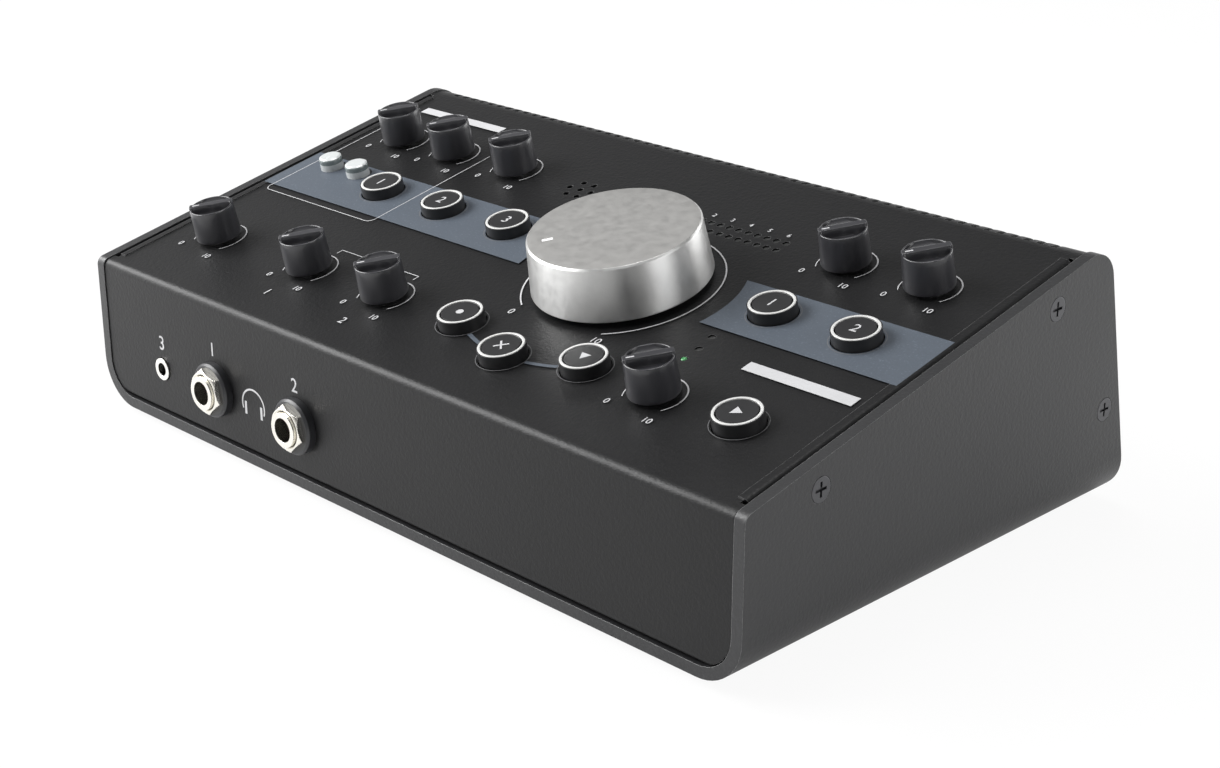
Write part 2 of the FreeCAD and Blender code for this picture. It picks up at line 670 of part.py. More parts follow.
def switch_cap(x, s):
    """Small domed translucent cap with its flange and stem."""
    low = -COVER_SHEET - FACE_RECESS - BUTTON_FLANGE_DROP - BUTTON_FLANGE_H
    r = SMALL_CAP_R
    wide = r + BUTTON_FLANGE_R - BUTTON_R
    d = SMALL_CAP_DOME
    cap = revolve([(0, low), (wide, low), (wide, low + BUTTON_FLANGE_H), (r, low + BUTTON_FLANGE_H),
                   (r, SMALL_CAP_TOP - d), (r - 0.3 * d, SMALL_CAP_TOP - 0.4 * d),
                   (r - d, SMALL_CAP_TOP), (0, SMALL_CAP_TOP)], x, s)
    half = STEM_SIDE / 2
    return tilted(fuse([cap, box(x - half, x + half, s - half, s + half, -STEM_FOOT, low)]))


def key_switch(x, s):
    top = KEY_HEIGHT - CONTROL_BOARD_DEPTH
    half = KEY_SIDE / 2
    well = (STEM_SIDE + KEY_WELL_SLACK) / 2
    body = box(x - half, x + half, s - half, s + half, -CONTROL_BOARD_DEPTH, top)
    return tilted(body.cut(box(x - well, x + well, s - well, s + well, top - KEY_WELL_DEPTH, top + 1)))


def key_switches():
    places = list(ROUND_BUTTONS.values()) + list(SMALL_SWITCHES.values())
    return Part.makeCompound([key_switch(x, s) for x, s in places])


def level_leds():
    """Light pipes that stand on the board and end just below the face of the panel."""
    pipes = []
    for x, s in lamp_places():
        start = Vector(x, s, -CONTROL_BOARD_DEPTH)
        rise = Vector(0, 0, CONTROL_BOARD_DEPTH - FACE_RECESS - LAMP_SINK)
        pipes.append(tilted(polygon_prism(LAMP_SIDES, LAMP_R, start, rise)))
    return Part.makeCompound(pipes)


def talkback_microphone():
    top = -FACE_RECESS - COVER_SHEET
    return tilted(rod(MIC_CAPSULE_R, MIC_X, MIC_S, top - MIC_CAPSULE_H, top))


def hex_nut(x, z, y0, y1, hole):
    """Hexagon nut with its axis along Y."""
    radius = NUT_ACROSS_FLATS / math.sqrt(3)
    body = polygon_prism(6, radius, Vector(x, y0, z), Vector(0, y1 - y0, 0), 30)
    return body.cut(rod_y(hole, x, z, min(y0, y1) - 1, max(y0, y1) + 1))


def quarter_inch_jack(x, z, panel, out, body_w, body_h, reach):
    """Socket body behind the panel with a threaded bushing through it; out is -1 at the front, 1 behind."""
    inner = panel - out * COVER_SHEET
    back = inner - out * JACK_BODY_L
    body = box(x - body_w / 2, x + body_w / 2, min(inner, back), max(inner, back),
               z - body_h / 2, z + body_h / 2)
    tip = panel + out * reach
    bushing = rod_y(JACK_BUSHING_R, x, z, min(inner, tip), max(inner, tip))
    end = tip - out * JACK_BORE_L
    bore = rod_y(JACK_BORE_R, x, z, min(tip + out, end), max(tip + out, end))
    return fuse([body, bushing]).cut(bore)


def phones_jacks():
    reach = JACK_REACH + FACE_RECESS
    jacks = [quarter_inch_jack(x, FOOT_HEIGHT + h, PANEL_Y, -1, JACK_BODY_W, JACK_BODY_H, reach)
             for x, h in PHONES_JACKS]
    return Part.makeCompound(jacks)


def jack_collars():
    """Round black washers between the front panel and the nuts."""
    out = PANEL_Y - JACK_COLLAR_H
    collars = []
    for x, h in PHONES_JACKS:
        z = FOOT_HEIGHT + h
        body = rod_y(JACK_COLLAR_R, x, z, out, PANEL_Y)
        body = body.makeChamfer(COLLAR_CHAMFER, [e for e in body.Edges if abs(e.CenterOfMass.y - out) < NEAR])
        collars.append(body.cut(rod_y(JACK_BUSHING_R + RUNNING_GAP, x, z, out - 1, PANEL_Y + 1)))
    return Part.makeCompound(collars)


def jack_nuts():
    hole = JACK_BUSHING_R + RUNNING_GAP
    y = PANEL_Y - JACK_COLLAR_H
    nuts = [hex_nut(x, FOOT_HEIGHT + h, y, y - NUT_HEIGHT, hole) for x, h in PHONES_JACKS]
    rear = [tilted(hex_nut(x, AXIS_LINE, REAR_FACE, REAR_FACE + NUT_HEIGHT, hole)) for x in LINE_X]
    return Part.makeCompound(nuts + rear)


def aux_mini_jack():
    x, h = MINI_JACK
    z = FOOT_HEIGHT + h
    half = MINI_BODY_W / 2
    inner = PANEL_Y + COVER_SHEET
    body = box(x - half, x + half, inner, inner + MINI_BODY_L, z - half, z + half)
    ring = rod_y(MINI_RING_R, x, z, PANEL_Y - MINI_REACH, inner)
    return fuse([body, ring]).cut(rod_y(MINI_BORE_R, x, z, PANEL_Y - 1, PANEL_Y + MINI_BORE_L))


def jack_board():
    half = WIDTH / 2 - BOARD_MARGIN
    top = -JACK_BOARD_DROP
    rear = REAR_FACE - COVER_SHEET - 1
    return tilted(box(-half, half, rear - JACK_BOARD_LENGTH, rear, top - BOARD_SHEET, top))


def line_jacks():
    jacks = [tilted(quarter_inch_jack(x, AXIS_LINE, REAR_FACE, 1, LINE_BODY_W, LINE_BODY_W, LINE_REACH))
             for x in LINE_X]
    return Part.makeCompound(jacks)


def combo_socket(x):
    """Combined microphone and jack socket: a ring-shaped slot round a core with three pins and a bore."""
    z = AXIS_COMBO
    inner = REAR_FACE - COVER_SHEET
    face = REAR_FACE + COMBO_REACH
    half = COMBO_BODY_W / 2
    body = box(x - half, x + half, inner - COMBO_BODY_L, inner, z - half, z + half)
    nose = rod_y(COMBO_NOSE_R, x, z, inner, face)
    slot_out = rod_y(COMBO_SLOT_R, x, z, face - COMBO_SLOT_DEPTH, face + 1)
    slot = slot_out.cut(rod_y(COMBO_SLOT_R - COMBO_SLOT_W, x, z, face - COMBO_SLOT_DEPTH - 1, face + 2))
    pins = []
    for angle in (0, 90, 180):
        a = math.radians(angle)
        across = x + COMBO_PIN_CIRCLE * math.cos(a)
        up = z + COMBO_PIN_CIRCLE * math.sin(a)
        start = Vector(across, face - COMBO_SLOT_DEPTH, up)
        pins.append(polygon_prism(COMBO_PIN_SIDES, COMBO_PIN_R, start, Vector(0, COMBO_SLOT_DEPTH + 1, 0)))
    bore = rod_y(JACK_BORE_R, x, z, face - COMBO_BODY_L, face + 1)
    return tilted(cut(fuse([body, nose]), [slot, bore] + pins))


def usb_socket():
    low = -JACK_BOARD_DROP
    face = REAR_FACE
    z = low + USB_H / 2
    shell = box(USB_X - USB_W / 2, USB_X + USB_W / 2, face - USB_L, face, low, low + USB_H)
    mouth = box(USB_X - USB_MOUTH_W / 2, USB_X + USB_MOUTH_W / 2, face - USB_MOUTH_DEPTH, face + 1,
                z - USB_MOUTH_H / 2, z + USB_MOUTH_H / 2)
    tongue = box(USB_X - USB_TONGUE_W / 2, USB_X + USB_TONGUE_W / 2, face - USB_MOUTH_DEPTH - 1, face - 1,
                 z - USB_TONGUE_H / 2, z + USB_TONGUE_H / 2)
    return tilted(fuse([shell.cut(mouth), tongue]))


def dc_inlet():
    low = -JACK_BOARD_DROP
    z = low + DC_H / 2
    body = box(DC_X - DC_SIDE / 2, DC_X + DC_SIDE / 2, REAR_FACE - DC_L, REAR_FACE, low, low + DC_H)
    mouth = rod_y(DC_MOUTH_R, DC_X, z, REAR_FACE - DC_L + 3, REAR_FACE + 1)
    pin = rod_y(DC_PIN_R, DC_X, z, REAR_FACE - DC_L + 2, REAR_FACE - 1)
    return tilted(fuse([body.cut(mouth), pin]))


def power_axis():
    return POWER_BODY_W / 2 - JACK_BOARD_DROP


def power_switch():
    inner = REAR_FACE - COVER_SHEET
    half = POWER_BODY_W / 2
    z = power_axis()
    body = box(POWER_X - half, POWER_X + half, inner - POWER_BODY_L, inner, z - half, z + half)
    well = rod_y(POWER_BUTTON_R + SOCKET_GAP, POWER_X, z, inner - POWER_BODY_L / 2 - POWER_TRAVEL, inner + 1)
    return tilted(body.cut(well))


def power_button():
    inner = REAR_FACE - COVER_SHEET
    z = power_axis()
    tip = REAR_FACE + POWER_BUTTON_REACH
    body = rod_y(POWER_BUTTON_R, POWER_X, z, inner - POWER_BODY_L / 2 + SOCKET_GAP, tip)
    rim = [e for e in body.Edges if abs(e.CenterOfMass.y - tip) < NEAR]
    return tilted(body.makeChamfer(POWER_CHAMFER, rim))


def main():
    os.makedirs("parts", exist_ok=True)
    save("base_chassis", base_chassis())
    save("top_cover", top_cover())
    save("casing_screws", casing_screws())
    save("rubber_feet", rubber_feet())
    save("control_board", control_board())
    save("potentiometers", potentiometers())
    save("key_switches", key_switches())
    save("level_leds", level_leds())
    save("talkback_microphone", talkback_microphone())
    for name, (x, s) in SMALL_KNOBS.items():
        save(name + "_knob", small_knob(x, s))
        save(name + "_shaft", shaft(x, s, SHAFT_TOP))
    save("volume_knob", volume_knob())
    save("volume_shaft", shaft(VOLUME_X, VOLUME_S, volume_shaft_top()))
    for name, (x, s) in ROUND_BUTTONS.items():
        save(name + "_button", round_button(x, s))
        save(name + "_light_ring", light_ring(x, s))
    for name, (x, s) in SMALL_SWITCHES.items():
        save(name + "_cap", switch_cap(x, s))
    save("phones_jacks", phones_jacks())
    save("jack_collars", jack_collars())
    save("jack_nuts", jack_nuts())
    save("aux_mini_jack", aux_mini_jack())
    save("jack_board", jack_board())
    save("line_jacks", line_jacks())
    save("combo_sockets", Part.makeCompound([combo_socket(x) for x in COMBO_X]))
    save("usb_socket", usb_socket())
    save("dc_inlet", dc_inlet())
    save("power_switch", power_switch())
    save("power_button", power_button())


main()
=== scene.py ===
"""Looks of a desktop studio monitor controller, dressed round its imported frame.

Lengths named here are millimetres; MM turns them into metres. Places on the sloped top panel are given as
x across, s up the slope from the front edge and h above the panel.
"""
import json
import math

import bmesh
import bpy
import numpy as np
from mathutils import Matrix, Vector


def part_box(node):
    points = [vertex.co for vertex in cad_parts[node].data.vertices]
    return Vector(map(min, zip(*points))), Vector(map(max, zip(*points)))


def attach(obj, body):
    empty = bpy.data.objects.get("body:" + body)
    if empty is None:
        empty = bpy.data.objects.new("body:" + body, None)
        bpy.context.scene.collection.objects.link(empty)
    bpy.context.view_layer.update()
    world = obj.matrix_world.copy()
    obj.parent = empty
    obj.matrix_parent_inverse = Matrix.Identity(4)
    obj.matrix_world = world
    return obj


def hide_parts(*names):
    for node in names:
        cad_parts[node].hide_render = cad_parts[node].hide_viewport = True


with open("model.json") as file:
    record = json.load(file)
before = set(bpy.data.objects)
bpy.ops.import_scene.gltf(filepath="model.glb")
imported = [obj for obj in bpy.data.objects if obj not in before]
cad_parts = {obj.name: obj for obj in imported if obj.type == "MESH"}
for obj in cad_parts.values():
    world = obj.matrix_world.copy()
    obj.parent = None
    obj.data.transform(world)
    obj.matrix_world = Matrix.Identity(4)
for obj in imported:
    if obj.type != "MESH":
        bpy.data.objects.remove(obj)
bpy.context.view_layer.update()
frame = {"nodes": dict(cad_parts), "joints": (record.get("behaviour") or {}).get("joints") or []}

MM = 0.001
TURN = 2 * math.pi

# The casing, read from the frame where it can be
TOP_ANGLE = math.radians(13.05)
FOOT_HEIGHT = 2.0
FRONT_HEIGHT = 41.0
FACE_RECESS = 0.3
REAR_FACE = 131.795
AXIS_LINE = 44.2
FRONT_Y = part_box("base_chassis")[0][1] / MM
TOP_CORNER = Vector((0, FRONT_Y, FOOT_HEIGHT + FRONT_HEIGHT))

# Frames of the top panel and of the front face; the second runs x across, height up, out of the face
PANEL = Matrix.Translation(TOP_CORNER * MM) @ Matrix.Rotation(TOP_ANGLE, 4, "X") @ Matrix.Scale(MM, 4)
FRONT = (Matrix.Translation(Vector((0, FRONT_Y + FACE_RECESS, FOOT_HEIGHT)) * MM)
         @ Matrix.Rotation(math.pi / 2, 4, "X") @ Matrix.Scale(MM, 4))

# Frame of the rear panel, seen from behind: x, depth below the top panel, out of the panel
REAR = PANEL @ Matrix.Translation((0, REAR_FACE, 0)) @ Matrix.Rotation(-math.pi / 2, 4, "X")
PANEL_NORMAL = Vector((0, -math.sin(TOP_ANGLE), math.cos(TOP_ANGLE)))

# The camera, found from the photograph's edges
CAMERA_PLACE = Vector((368.446, -355.869, 217.212))
CAMERA_AZIMUTH = math.radians(45.1408)
CAMERA_ELEVATION = math.radians(21.0808)
CAMERA_ROLL = math.radians(0.1970)
CAMERA_CLIP = 0.01
PHOTO_WIDTH = 1220
FOCAL_PIXELS = 2073.18
SENSOR = 36.0

# Printed ink; the least steps of an arc are ARC_STEPS, and it gets one more for each ARC_DEGREES
INK_LIFT = 0.03
STRIP_LIFT = INK_LIFT - 0.005
BAND_LIFT = INK_LIFT - 0.01
INK_THICKNESS = 0.02
LINE = 0.24
BOLD_LINE = 0.38
ARC_STEPS = 6
ARC_DEGREES = 3
FIGURE_BOLDNESS = 0.02
FIGURE_SHARE = 0.69
FIGURE_CURVE_STEPS = 4
WELD = 1e-7

# Small knobs
SMALL_KNOBS = ("direct_monitor", "phones_1", "phones_2", "talkback", "gain_1", "gain_2",
               "trim_34", "trim_a", "trim_b")
POINTER_REST = 220.0
KNOB_BASE_R = 6.27
KNOB_RIM_R = 5.95
KNOB_BASE_H = 0.8
KNOB_RIM_H = 9.77
KNOB_BAR_H = 10.5
KNOB_BAR_W = 2.4
KNOB_BAR_BLEND = 0.28
KNOB_SCOOP_R = 4.7
KNOB_SCOOP_DEPTH = 1.5
KNOB_SCOOP_OFFSET = 0.7
KNOB_SCOOP_BLEND = 0.3
KNOB_SCOOP_REACH = 0.98
KNOB_UNDERSIDE = 0.9
KNOB_BASE_EDGE = 0.2
KNOB_RIM_EDGE = 0.22
KNOB_LAND = 0.34
KNOB_LAND_END = 0.35
KNOB_TOP_START = 0.5
KNOB_COLUMNS = 192
KNOB_SIDE_ROWS = 7
KNOB_LAND_ROWS = 6
KNOB_TOP_ROWS = 34
EDGE_ANGLES = (30, 60, 90)
KNOB_POINTER = (3.35, 4.75)
KNOB_POINTER_WIDTH = 0.5

# Volume knob
VOLUME_BASE_R = 23.0
VOLUME_RIM_R = 21.4
VOLUME_BASE_H = 1.2
VOLUME_HEIGHT = 15.1
VOLUME_CHAMFER = (0.45, 0.5)
VOLUME_ARCS = (0.4, 0.12, 0.12)
VOLUME_TOP_RINGS = (18.0, 12.0, 6.0)
VOLUME_COLUMNS = 256
VOLUME_POINTER = (15.6, 17.2)
VOLUME_POINTER_WIDTH = 1.1
FLAT_TOP = 0.99

# Buttons and the marks on them, drawn round the button's middle
ROUND_BUTTONS = ("mono", "mute", "dim", "cue", "monitor_a", "monitor_b",
                 "usb_source", "source_34", "source_12")
SMALL_SWITCHES = ("input_1_switch", "input_2_switch")
BUTTON_HOLE_R = 6.3
BUTTON_TOP = 3.0
CAP_HOLE_R = 3.7
CAP_HOLE_STEPS = 40
CAP_BAND = (1.9, 3.35)
CAP_SMOKE = (0.16, 0.19, 0.19, 1)
RING_PROFILE = ((5.05, 1.9), (5.76, 1.9), (5.76, 3.16), (5.05, 3.16), (5.05, 1.9))
RING_ARCS = (0, 0.18, 0.18)
RING_COLUMNS = 96
BUTTON_NUMBERS = {"monitor_a": "1", "monitor_b": "2", "source_12": "1", "source_34": "2", "usb_source": "3"}
BUTTON_FIGURE = 3.1
DOT_R = 1.0
CROSS_LINES = (((-1.2, -1.2), (1.2, 1.2)), ((-1.2, 1.2), (-0.3, 0.3)), ((0.3, -0.3), (1.2, -1.2)))
CROSS_WIDTH = 0.5
ARROW_DOWN = ((-1.5, 1.1), (0, -1.4), (1.5, 1.1))
ARROW_RIGHT = ((-1.1, -1.5), (1.5, 0), (-1.1, 1.5))

# Sockets, their nuts and the lit status lamp
PHONES_PLACES = ((-66.0, 17.0), (-30.5, 17.0))
LINE_X = (-44.0, -26.0, -3.0, 15.0, 38.0, 56.0)
COLLAR_REACH = 2.5
NUT_FLATS = 11.0
NUT_THICK = 1.7
NUT_BORE = 4.75
NUT_TURN = math.radians(18)
NUT_CHAMFER = ((0.75, 6.35), (0.5, 6.1), (0.25, 5.8), (0.08, 5.5), (0.0, 5.3))
NUT_MOUTH = 0.35
NUT_MOUTH_DEPTH = 0.3
NUT_COLUMNS = 180
NUT_PLACES = tuple((x, z, COLLAR_REACH, FRONT) for x, z in PHONES_PLACES) + tuple(
    (x, AXIS_LINE, 0.0, REAR) for x in LINE_X)
GREEN_LAMP_PLACE = (65.0, 41.2)
GREEN_LAMP_PROFILE = ((0, -0.5), (0.8, -0.5), (0.8, -0.4), (0.55, -0.2), (0, -0.12))
GREEN_LAMP_COLUMNS = 24

# Scales round the knobs: clock angle of the start, sweep and line; then figures at clock angles
SCALE_R = 7.55
SCALE_ARCS = ((234.0, 131, LINE), (5, 85, BOLD_LINE), (91, 36.0, LINE))
SCALE_FIGURES = (("0", 226), ("10", 146))
SCALE_FIGURE_R = 10.9
SCALE_FIGURE = 1.9
VOLUME_SCALE_R = 25.7
VOLUME_SCALE = (215, 292.7)
VOLUME_FIGURES = (("0", 211), ("10", 149))
VOLUME_FIGURE_R = 28.6
VOLUME_FIGURE = 2.2

# Bands, outlines, strips and figures on the panel
BAND_END = 115.2
BAND_FRONT = 55.3
BAND_REAR = 76.5
BAND_STEPS = 24
RIGHT_BAND_ARC = 31.5
LEFT_BAND_ARC = 32.5
LINK_R = 40.9
LINK_GAP = 7.0
LINK_WIDTH = 1.1
BOX_LEFT, BOX_RIGHT = -111.0, -63.1
BOX_FRONT, BOX_RIGHT_REAR, BOX_LEFT_REAR = 52.4, 97.6, 112.0
BOX_CORNER = 2.0
BRACKET_FOOT, BRACKET_TOP = 35.6, 37.5
PHONES_FIGURE_S = 12.0
PHONES_FIGURE = 2.6
METER_EDGE = 0.85
METER_STEP = 3.15
METER_FIGURES = 6
METER_FIGURE_S = 99.4
METER_FIGURE = 1.5
PLAIN_STRIPS = (((-107.0, 112.3), (-75.0, 112.3), 3.2), ((82.0, 45.6), (110.0, 45.6), 3.6))
OUTLINE_R = 6.75
OUTLINE_WIDTH = 0.16

# Figures and headphone sign on the front
FRONT_FIGURES = (("1", -66.8, 27.9, 3.7), ("2", -31.2, 27.6, 3.7), ("3", -90.9, 23.4, 3.9))
HEADSET_PLACE = (-49.5, 17.2)
HEADBAND_R = (4.75, 4.4)
HEADBAND_HALF = 0.24
HEADBAND_DROP = 0.4
HEADBAND_OVERRUN = 0.12
HEADBAND_STEPS = 40
PAD_X = 3.35
PAD_ENDS = (-3.0, -0.3)
PAD_WIDTH = 0.85

# Grain of the finishes: noise scale, detail and roughness; then brightness without and with the grain
POWDER_GRAIN = (1900, 2.0, 0.5)
POWDER_PEEL = (900, 2.0, 0.5)
POWDER_HAZE = (22, 3.0, 0.6)
POWDER_TONE = (0.86, 0.28)
POWDER_HAZE_SPREAD = 0.14
POWDER_RELIEF = (0.45, 0.8)
SPECK_LEVEL = 0.66
SPECK_GAIN = 0.35
MOULDED_GRAIN = (4200, 1.0, 0.5)
MOULDED_PATCH = (160, 2.0, 0.5)
MOULDED_TONE = (0.93, 0.14)
MOULDED_SPREAD = 0.12
PLATED_GRAIN = (5200, 1.0, 0.5)
PLATED_PATCH = (420, 3.0, 0.6)
PLATED_TONE = (0.92, 0.16)
PLATED_SPREAD = 0.16
MIDDLE = 0.5

# Places of a Mix node's sockets for colours
COLOUR_MIX_INPUTS = (0, 6, 7)
COLOUR_MIX_OUTPUT = 2

# Rubbed edges and painted edge highlight: one pale grey along sharp edges stands for both
WEAR_AND_HIGHLIGHT_RADIUS = 0.22
WEAR_AND_HIGHLIGHT_SAMPLES = 6
WEAR_AND_HIGHLIGHT_BEND = 0.98
WEAR_AND_HIGHLIGHT_GAIN = 2.0
EDGE_SPECKLE_GRAIN = (2400, 2.0, 0.6)
EDGE_SPECKLE_LEVEL = 0.84
# Pale grey of exposed metal, also used as the painted highlight along edges
BARE_METAL_AND_HIGHLIGHT = (0.6, 0.6, 0.6, 1)
EDGE_SAMPLES = 4

# Studio, in metres: each lamp has a place, a width, a height and a power
FLOOR_REACH = 6.0
FLOOR_COLOUR = (0.86, 0.86, 0.86, 1)
FLOOR_ROUGHNESS = 0.9
FLOOR_SHEEN = 0.35
FLOOR_GLOW = 0.93
WORLD_LEVEL = 0.15
HORIZON_LEVEL = 1.25
HORIZON_HEIGHT = 0.5
GAP_SLOPE = 2.2
GAP_LEVEL = 2.0
LAMP_TARGET = Vector((0, 0, 0.03))
LAMPS = (
    ("overhead_softbox", (-0.10, 0.05, 1.0), 0.4, 0.4, 4.4),
    ("left_softbox", (-0.96, -0.38, 0.36), 0.6, 0.8, 2.0),
    ("high_left_softbox", (-0.74, -0.54, 0.70), 1.0, 0.6, 21.0),
    ("rear_softbox", (0.34, 1.05, 0.34), 0.6, 0.7, 4.0),
    ("right_softbox", (1.05, 0.16, 0.40), 0.5, 0.6, 3.4),
)


def to_panel(point):
    """x and s on the panel of a point of the shared frame."""
    local = PANEL.inverted() @ point
    return local.x, local.y


def panel_place(body):
    """x and s of a turning control, from its hinge."""
    for joint in frame["joints"]:
        if joint["child"] == body and "pos_m" in joint:
            return to_panel(Vector(joint["pos_m"]))
    raise KeyError(body)


def node_place(node):
    """x and s of an upright piece on the panel, from the middle of its box."""
    low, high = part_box(node)
    return to_panel((Vector(low) + Vector(high)) / 2)


VOLUME_PLACE = panel_place("volume_control")
KNOB_PLACES = {name: panel_place(name + "_control") for name in SMALL_KNOBS}
BUTTON_PLACES = {name: node_place(name + "_light_ring") for name in ROUND_BUTTONS}
SWITCH_PLACES = {name: node_place(name + "_cap") for name in SMALL_SWITCHES}


def placed(points, matrix):
    """Points given in a panel's millimetres, moved to the shared frame in metres."""
    turn = np.array(matrix.to_3x3())
    return points @ turn.T + np.array(matrix.translation)


def new_piece(name, parts, material, body, smooth=False):
    """One mesh from a list of (points, faces), already in metres, riding on a body."""
    points, faces, start = [], [], 0
    for part_points, part_faces in parts:
        points.append(part_points)
        faces += [tuple(int(i) + start for i in face) for face in part_faces]
        start += len(part_points)
    mesh = bpy.data.meshes.new(name)
    mesh.from_pydata(np.concatenate(points).tolist(), [], faces)
    mesh.validate()
    shape = bmesh.new()
    shape.from_mesh(mesh)
    bmesh.ops.remove_doubles(shape, verts=shape.verts, dist=WELD)
    shape.to_mesh(mesh)
    shape.free()
    mesh.polygons.foreach_set("use_smooth", [smooth] * len(mesh.polygons))
    mesh.materials.append(material)
    piece = bpy.data.objects.new(name, mesh)
    bpy.context.scene.collection.objects.link(piece)
    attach(piece, body)
    return piece


def grid_faces(rows, columns, closed):
    """Quads of a rows by columns grid of points, wrapped round when closed."""
    index = np.arange(rows * columns).reshape(rows, columns)
    if closed:
        index = np.concatenate([index, index[:, :1]], axis=1)
    corners = (index[:-1, :-1], index[:-1, 1:], index[1:, 1:], index[1:, :-1])
    return np.stack([c.ravel() for c in corners], axis=1)


def revolved(profile, segments, x, s, matrix):
    """A profile of (radius, height) turned about the upright line at x, s: the point at angle a is
    (x + radius cos a, s + radius sin a, height). Welding closes it where the radius is nought."""
    profile = np.array(profile, float)
    angle = np.linspace(0, TURN, segments, endpoint=False)
    radius, height = profile[:, 0, None], profile[:, 1, None]
    points = np.stack([x + radius * np.cos(angle), s + radius * np.sin(angle),
                       height + 0 * angle], axis=-1).reshape(-1, 3)
    return placed(points, matrix), grid_faces(len(profile), segments, True)


def rounded(points, radii, steps=5):
    """A profile with an arc of the given radius at each inner corner."""
    out = [np.array(points[0], float)]
    for before, corner, after, radius in zip(points, points[1:], points[2:], radii):
        corner = np.array(corner, float)
        back = np.array(before) - corner
        ahead = np.array(after) - corner
        back = back / np.linalg.norm(back)
        ahead = ahead / np.linalg.norm(ahead)
        half = math.acos(float(np.clip(back @ ahead, -1, 1))) / 2
        if radius <= 0:
            out.append(corner)
            continue
        reach = radius / math.tan(half)
        middle = corner + (back + ahead) / np.linalg.norm(back + ahead) * radius / math.sin(half)
        first = corner + back * reach - middle
        last = corner + ahead * reach - middle
        for t in np.linspace(0, 1, steps):
            arm = first * (1 - t) + last * t
            out.append(middle + arm / np.linalg.norm(arm) * radius)
    out.append(np.array(points[-1], float))
    return out


def smooth_step(value):
    """Eases from 0 to 1 as v^2 (3 - 2 v)."""
    value = np.clip(value, 0, 1)
    return value * value * (3 - 2 * value)


def clock(angle):
    """Unit step at a clock angle in degrees, nought up the slope and growing clockwise seen from above."""
    a = np.radians(angle)
    return np.sin(a), np.cos(a)


def arc_line(x, s, radius, start, sweep, width):
    """Flat strip along an arc whose clock angles run from start over sweep."""
    count = max(ARC_STEPS, int(abs(sweep) / ARC_DEGREES))
    across, along = clock(start + sweep * np.linspace(0, 1, count))
    rings = [np.stack([x + (radius + side) * across, s + (radius + side) * along, 0 * across], axis=-1)
             for side in (-width / 2, width / 2)]
    return upward(np.concatenate(rings), grid_faces(2, count, False))


def stroke(start, end, width):
    """Flat straight line of a given width between two points."""
    start, end = np.array(start, float), np.array(end, float)
    along = (end - start) / np.linalg.norm(end - start)
    side = np.array([-along[1], along[0]]) * width / 2
    start, end = start - along * width / 2, end + along * width / 2
    corners = np.array([start - side, end - side, end + side, start + side])
    return upward(np.column_stack([corners, np.zeros(4)]), np.array([[0, 1, 2, 3]]))


def upward(points, faces):
    """Turns flat faces so that they look along +h."""
    first = faces[0]
    a, b, c = (points[first[i]] for i in range(3))
    if np.cross(b - a, c - b)[2] < 0:
        faces = faces[:, ::-1]
    return points, faces


def circle(x, s, radius, count=64):
    """Points round a circle."""
    angle = np.linspace(0, TURN, count, endpoint=False)
    return np.column_stack([x + radius * np.cos(angle), s + radius * np.sin(angle)])


def mesh_arrays(source):
    """Points and faces of a curve or text object's own mesh."""
    mesh = bpy.data.meshes.new_from_object(source)
    points = np.empty(len(mesh.vertices) * 3)
    mesh.vertices.foreach_get("co", points)
    faces = [tuple(face.vertices) for face in mesh.polygons]
    data = source.data
    bpy.data.objects.remove(source)
    bpy.data.curves.remove(data)
    bpy.data.meshes.remove(mesh)
    return points.reshape(-1, 3), faces


def filled(outlines):
    """Flat area inside the first outline and outside the others."""
    curve = bpy.data.curves.new("outline", "CURVE")
    curve.dimensions = "2D"
    curve.fill_mode = "BOTH"
    for outline in outlines:
        spline = curve.splines.new("POLY")
        spline.points.add(len(outline) - 1)
        values = np.column_stack([outline, np.zeros(len(outline)), np.ones(len(outline))])
        spline.points.foreach_set("co", values.ravel())
        spline.use_cyclic_u = True
    return mesh_arrays(bpy.data.objects.new("outline", curve))


def number(text, x, s, height):
    """A printed number, centred on a point, its figures of the given height."""
    curve = bpy.data.curves.new("number", "FONT")
    curve.body = text
    curve.size = height / FIGURE_SHARE
    curve.align_x = "CENTER"
    curve.resolution_u = FIGURE_CURVE_STEPS
    curve.offset = FIGURE_BOLDNESS
    points, faces = mesh_arrays(bpy.data.objects.new("number", curve))
    points[:, 0] += x
    points[:, 1] += s - height / 2
    return points, faces


def printed(name, parts, matrix, material, body, lift=INK_LIFT):
    """A thin layer of ink: flat parts lifted off their panel and given a thickness."""
    raised = [(placed(points + np.array([0, 0, lift]), matrix), faces) for points, faces in parts]
    piece = new_piece(name, raised, material, body)
    ink = piece.modifiers.new("ink", "SOLIDIFY")
    ink.thickness = INK_THICKNESS * MM
    ink.offset = -1


# Node helpers and shared effects

def link(tree, source, output, target, entry):
    """Links two nodes by the names of their sockets."""
    tree.links.new(source.outputs[output], target.inputs[entry])


def maths(tree, operation, first, second=None):
    """A Math node; each value is a number or a socket."""
    step = tree.nodes.new("ShaderNodeMath")
    step.operation = operation
    for i, value in enumerate((first, second)):
        if value is None:
            continue
        if isinstance(value, (int, float)):
            step.inputs[i].default_value = value
        else:
            tree.links.new(value, step.inputs[i])
    return step.outputs[0]


def blend_colour(tree, factor, first, second):
    """Mixes two colours; each value is a constant or a socket."""
    mix = tree.nodes.new("ShaderNodeMix")
    mix.data_type = "RGBA"
    for place, value in zip(COLOUR_MIX_INPUTS, (factor, first, second)):
        if isinstance(value, (tuple, int, float)):
            mix.inputs[place].default_value = value
        else:
            tree.links.new(value, mix.inputs[place])
    return mix.outputs[COLOUR_MIX_OUTPUT]


def noise(tree, coordinates, scale, detail, roughness):
    """Even noise of a given scale per metre."""
    texture = tree.nodes.new("ShaderNodeTexNoise")
    texture.inputs["Scale"].default_value = scale
    texture.inputs["Detail"].default_value = detail
    texture.inputs["Roughness"].default_value = roughness
    tree.links.new(coordinates, texture.inputs["Vector"])
    return texture.outputs["Fac"]


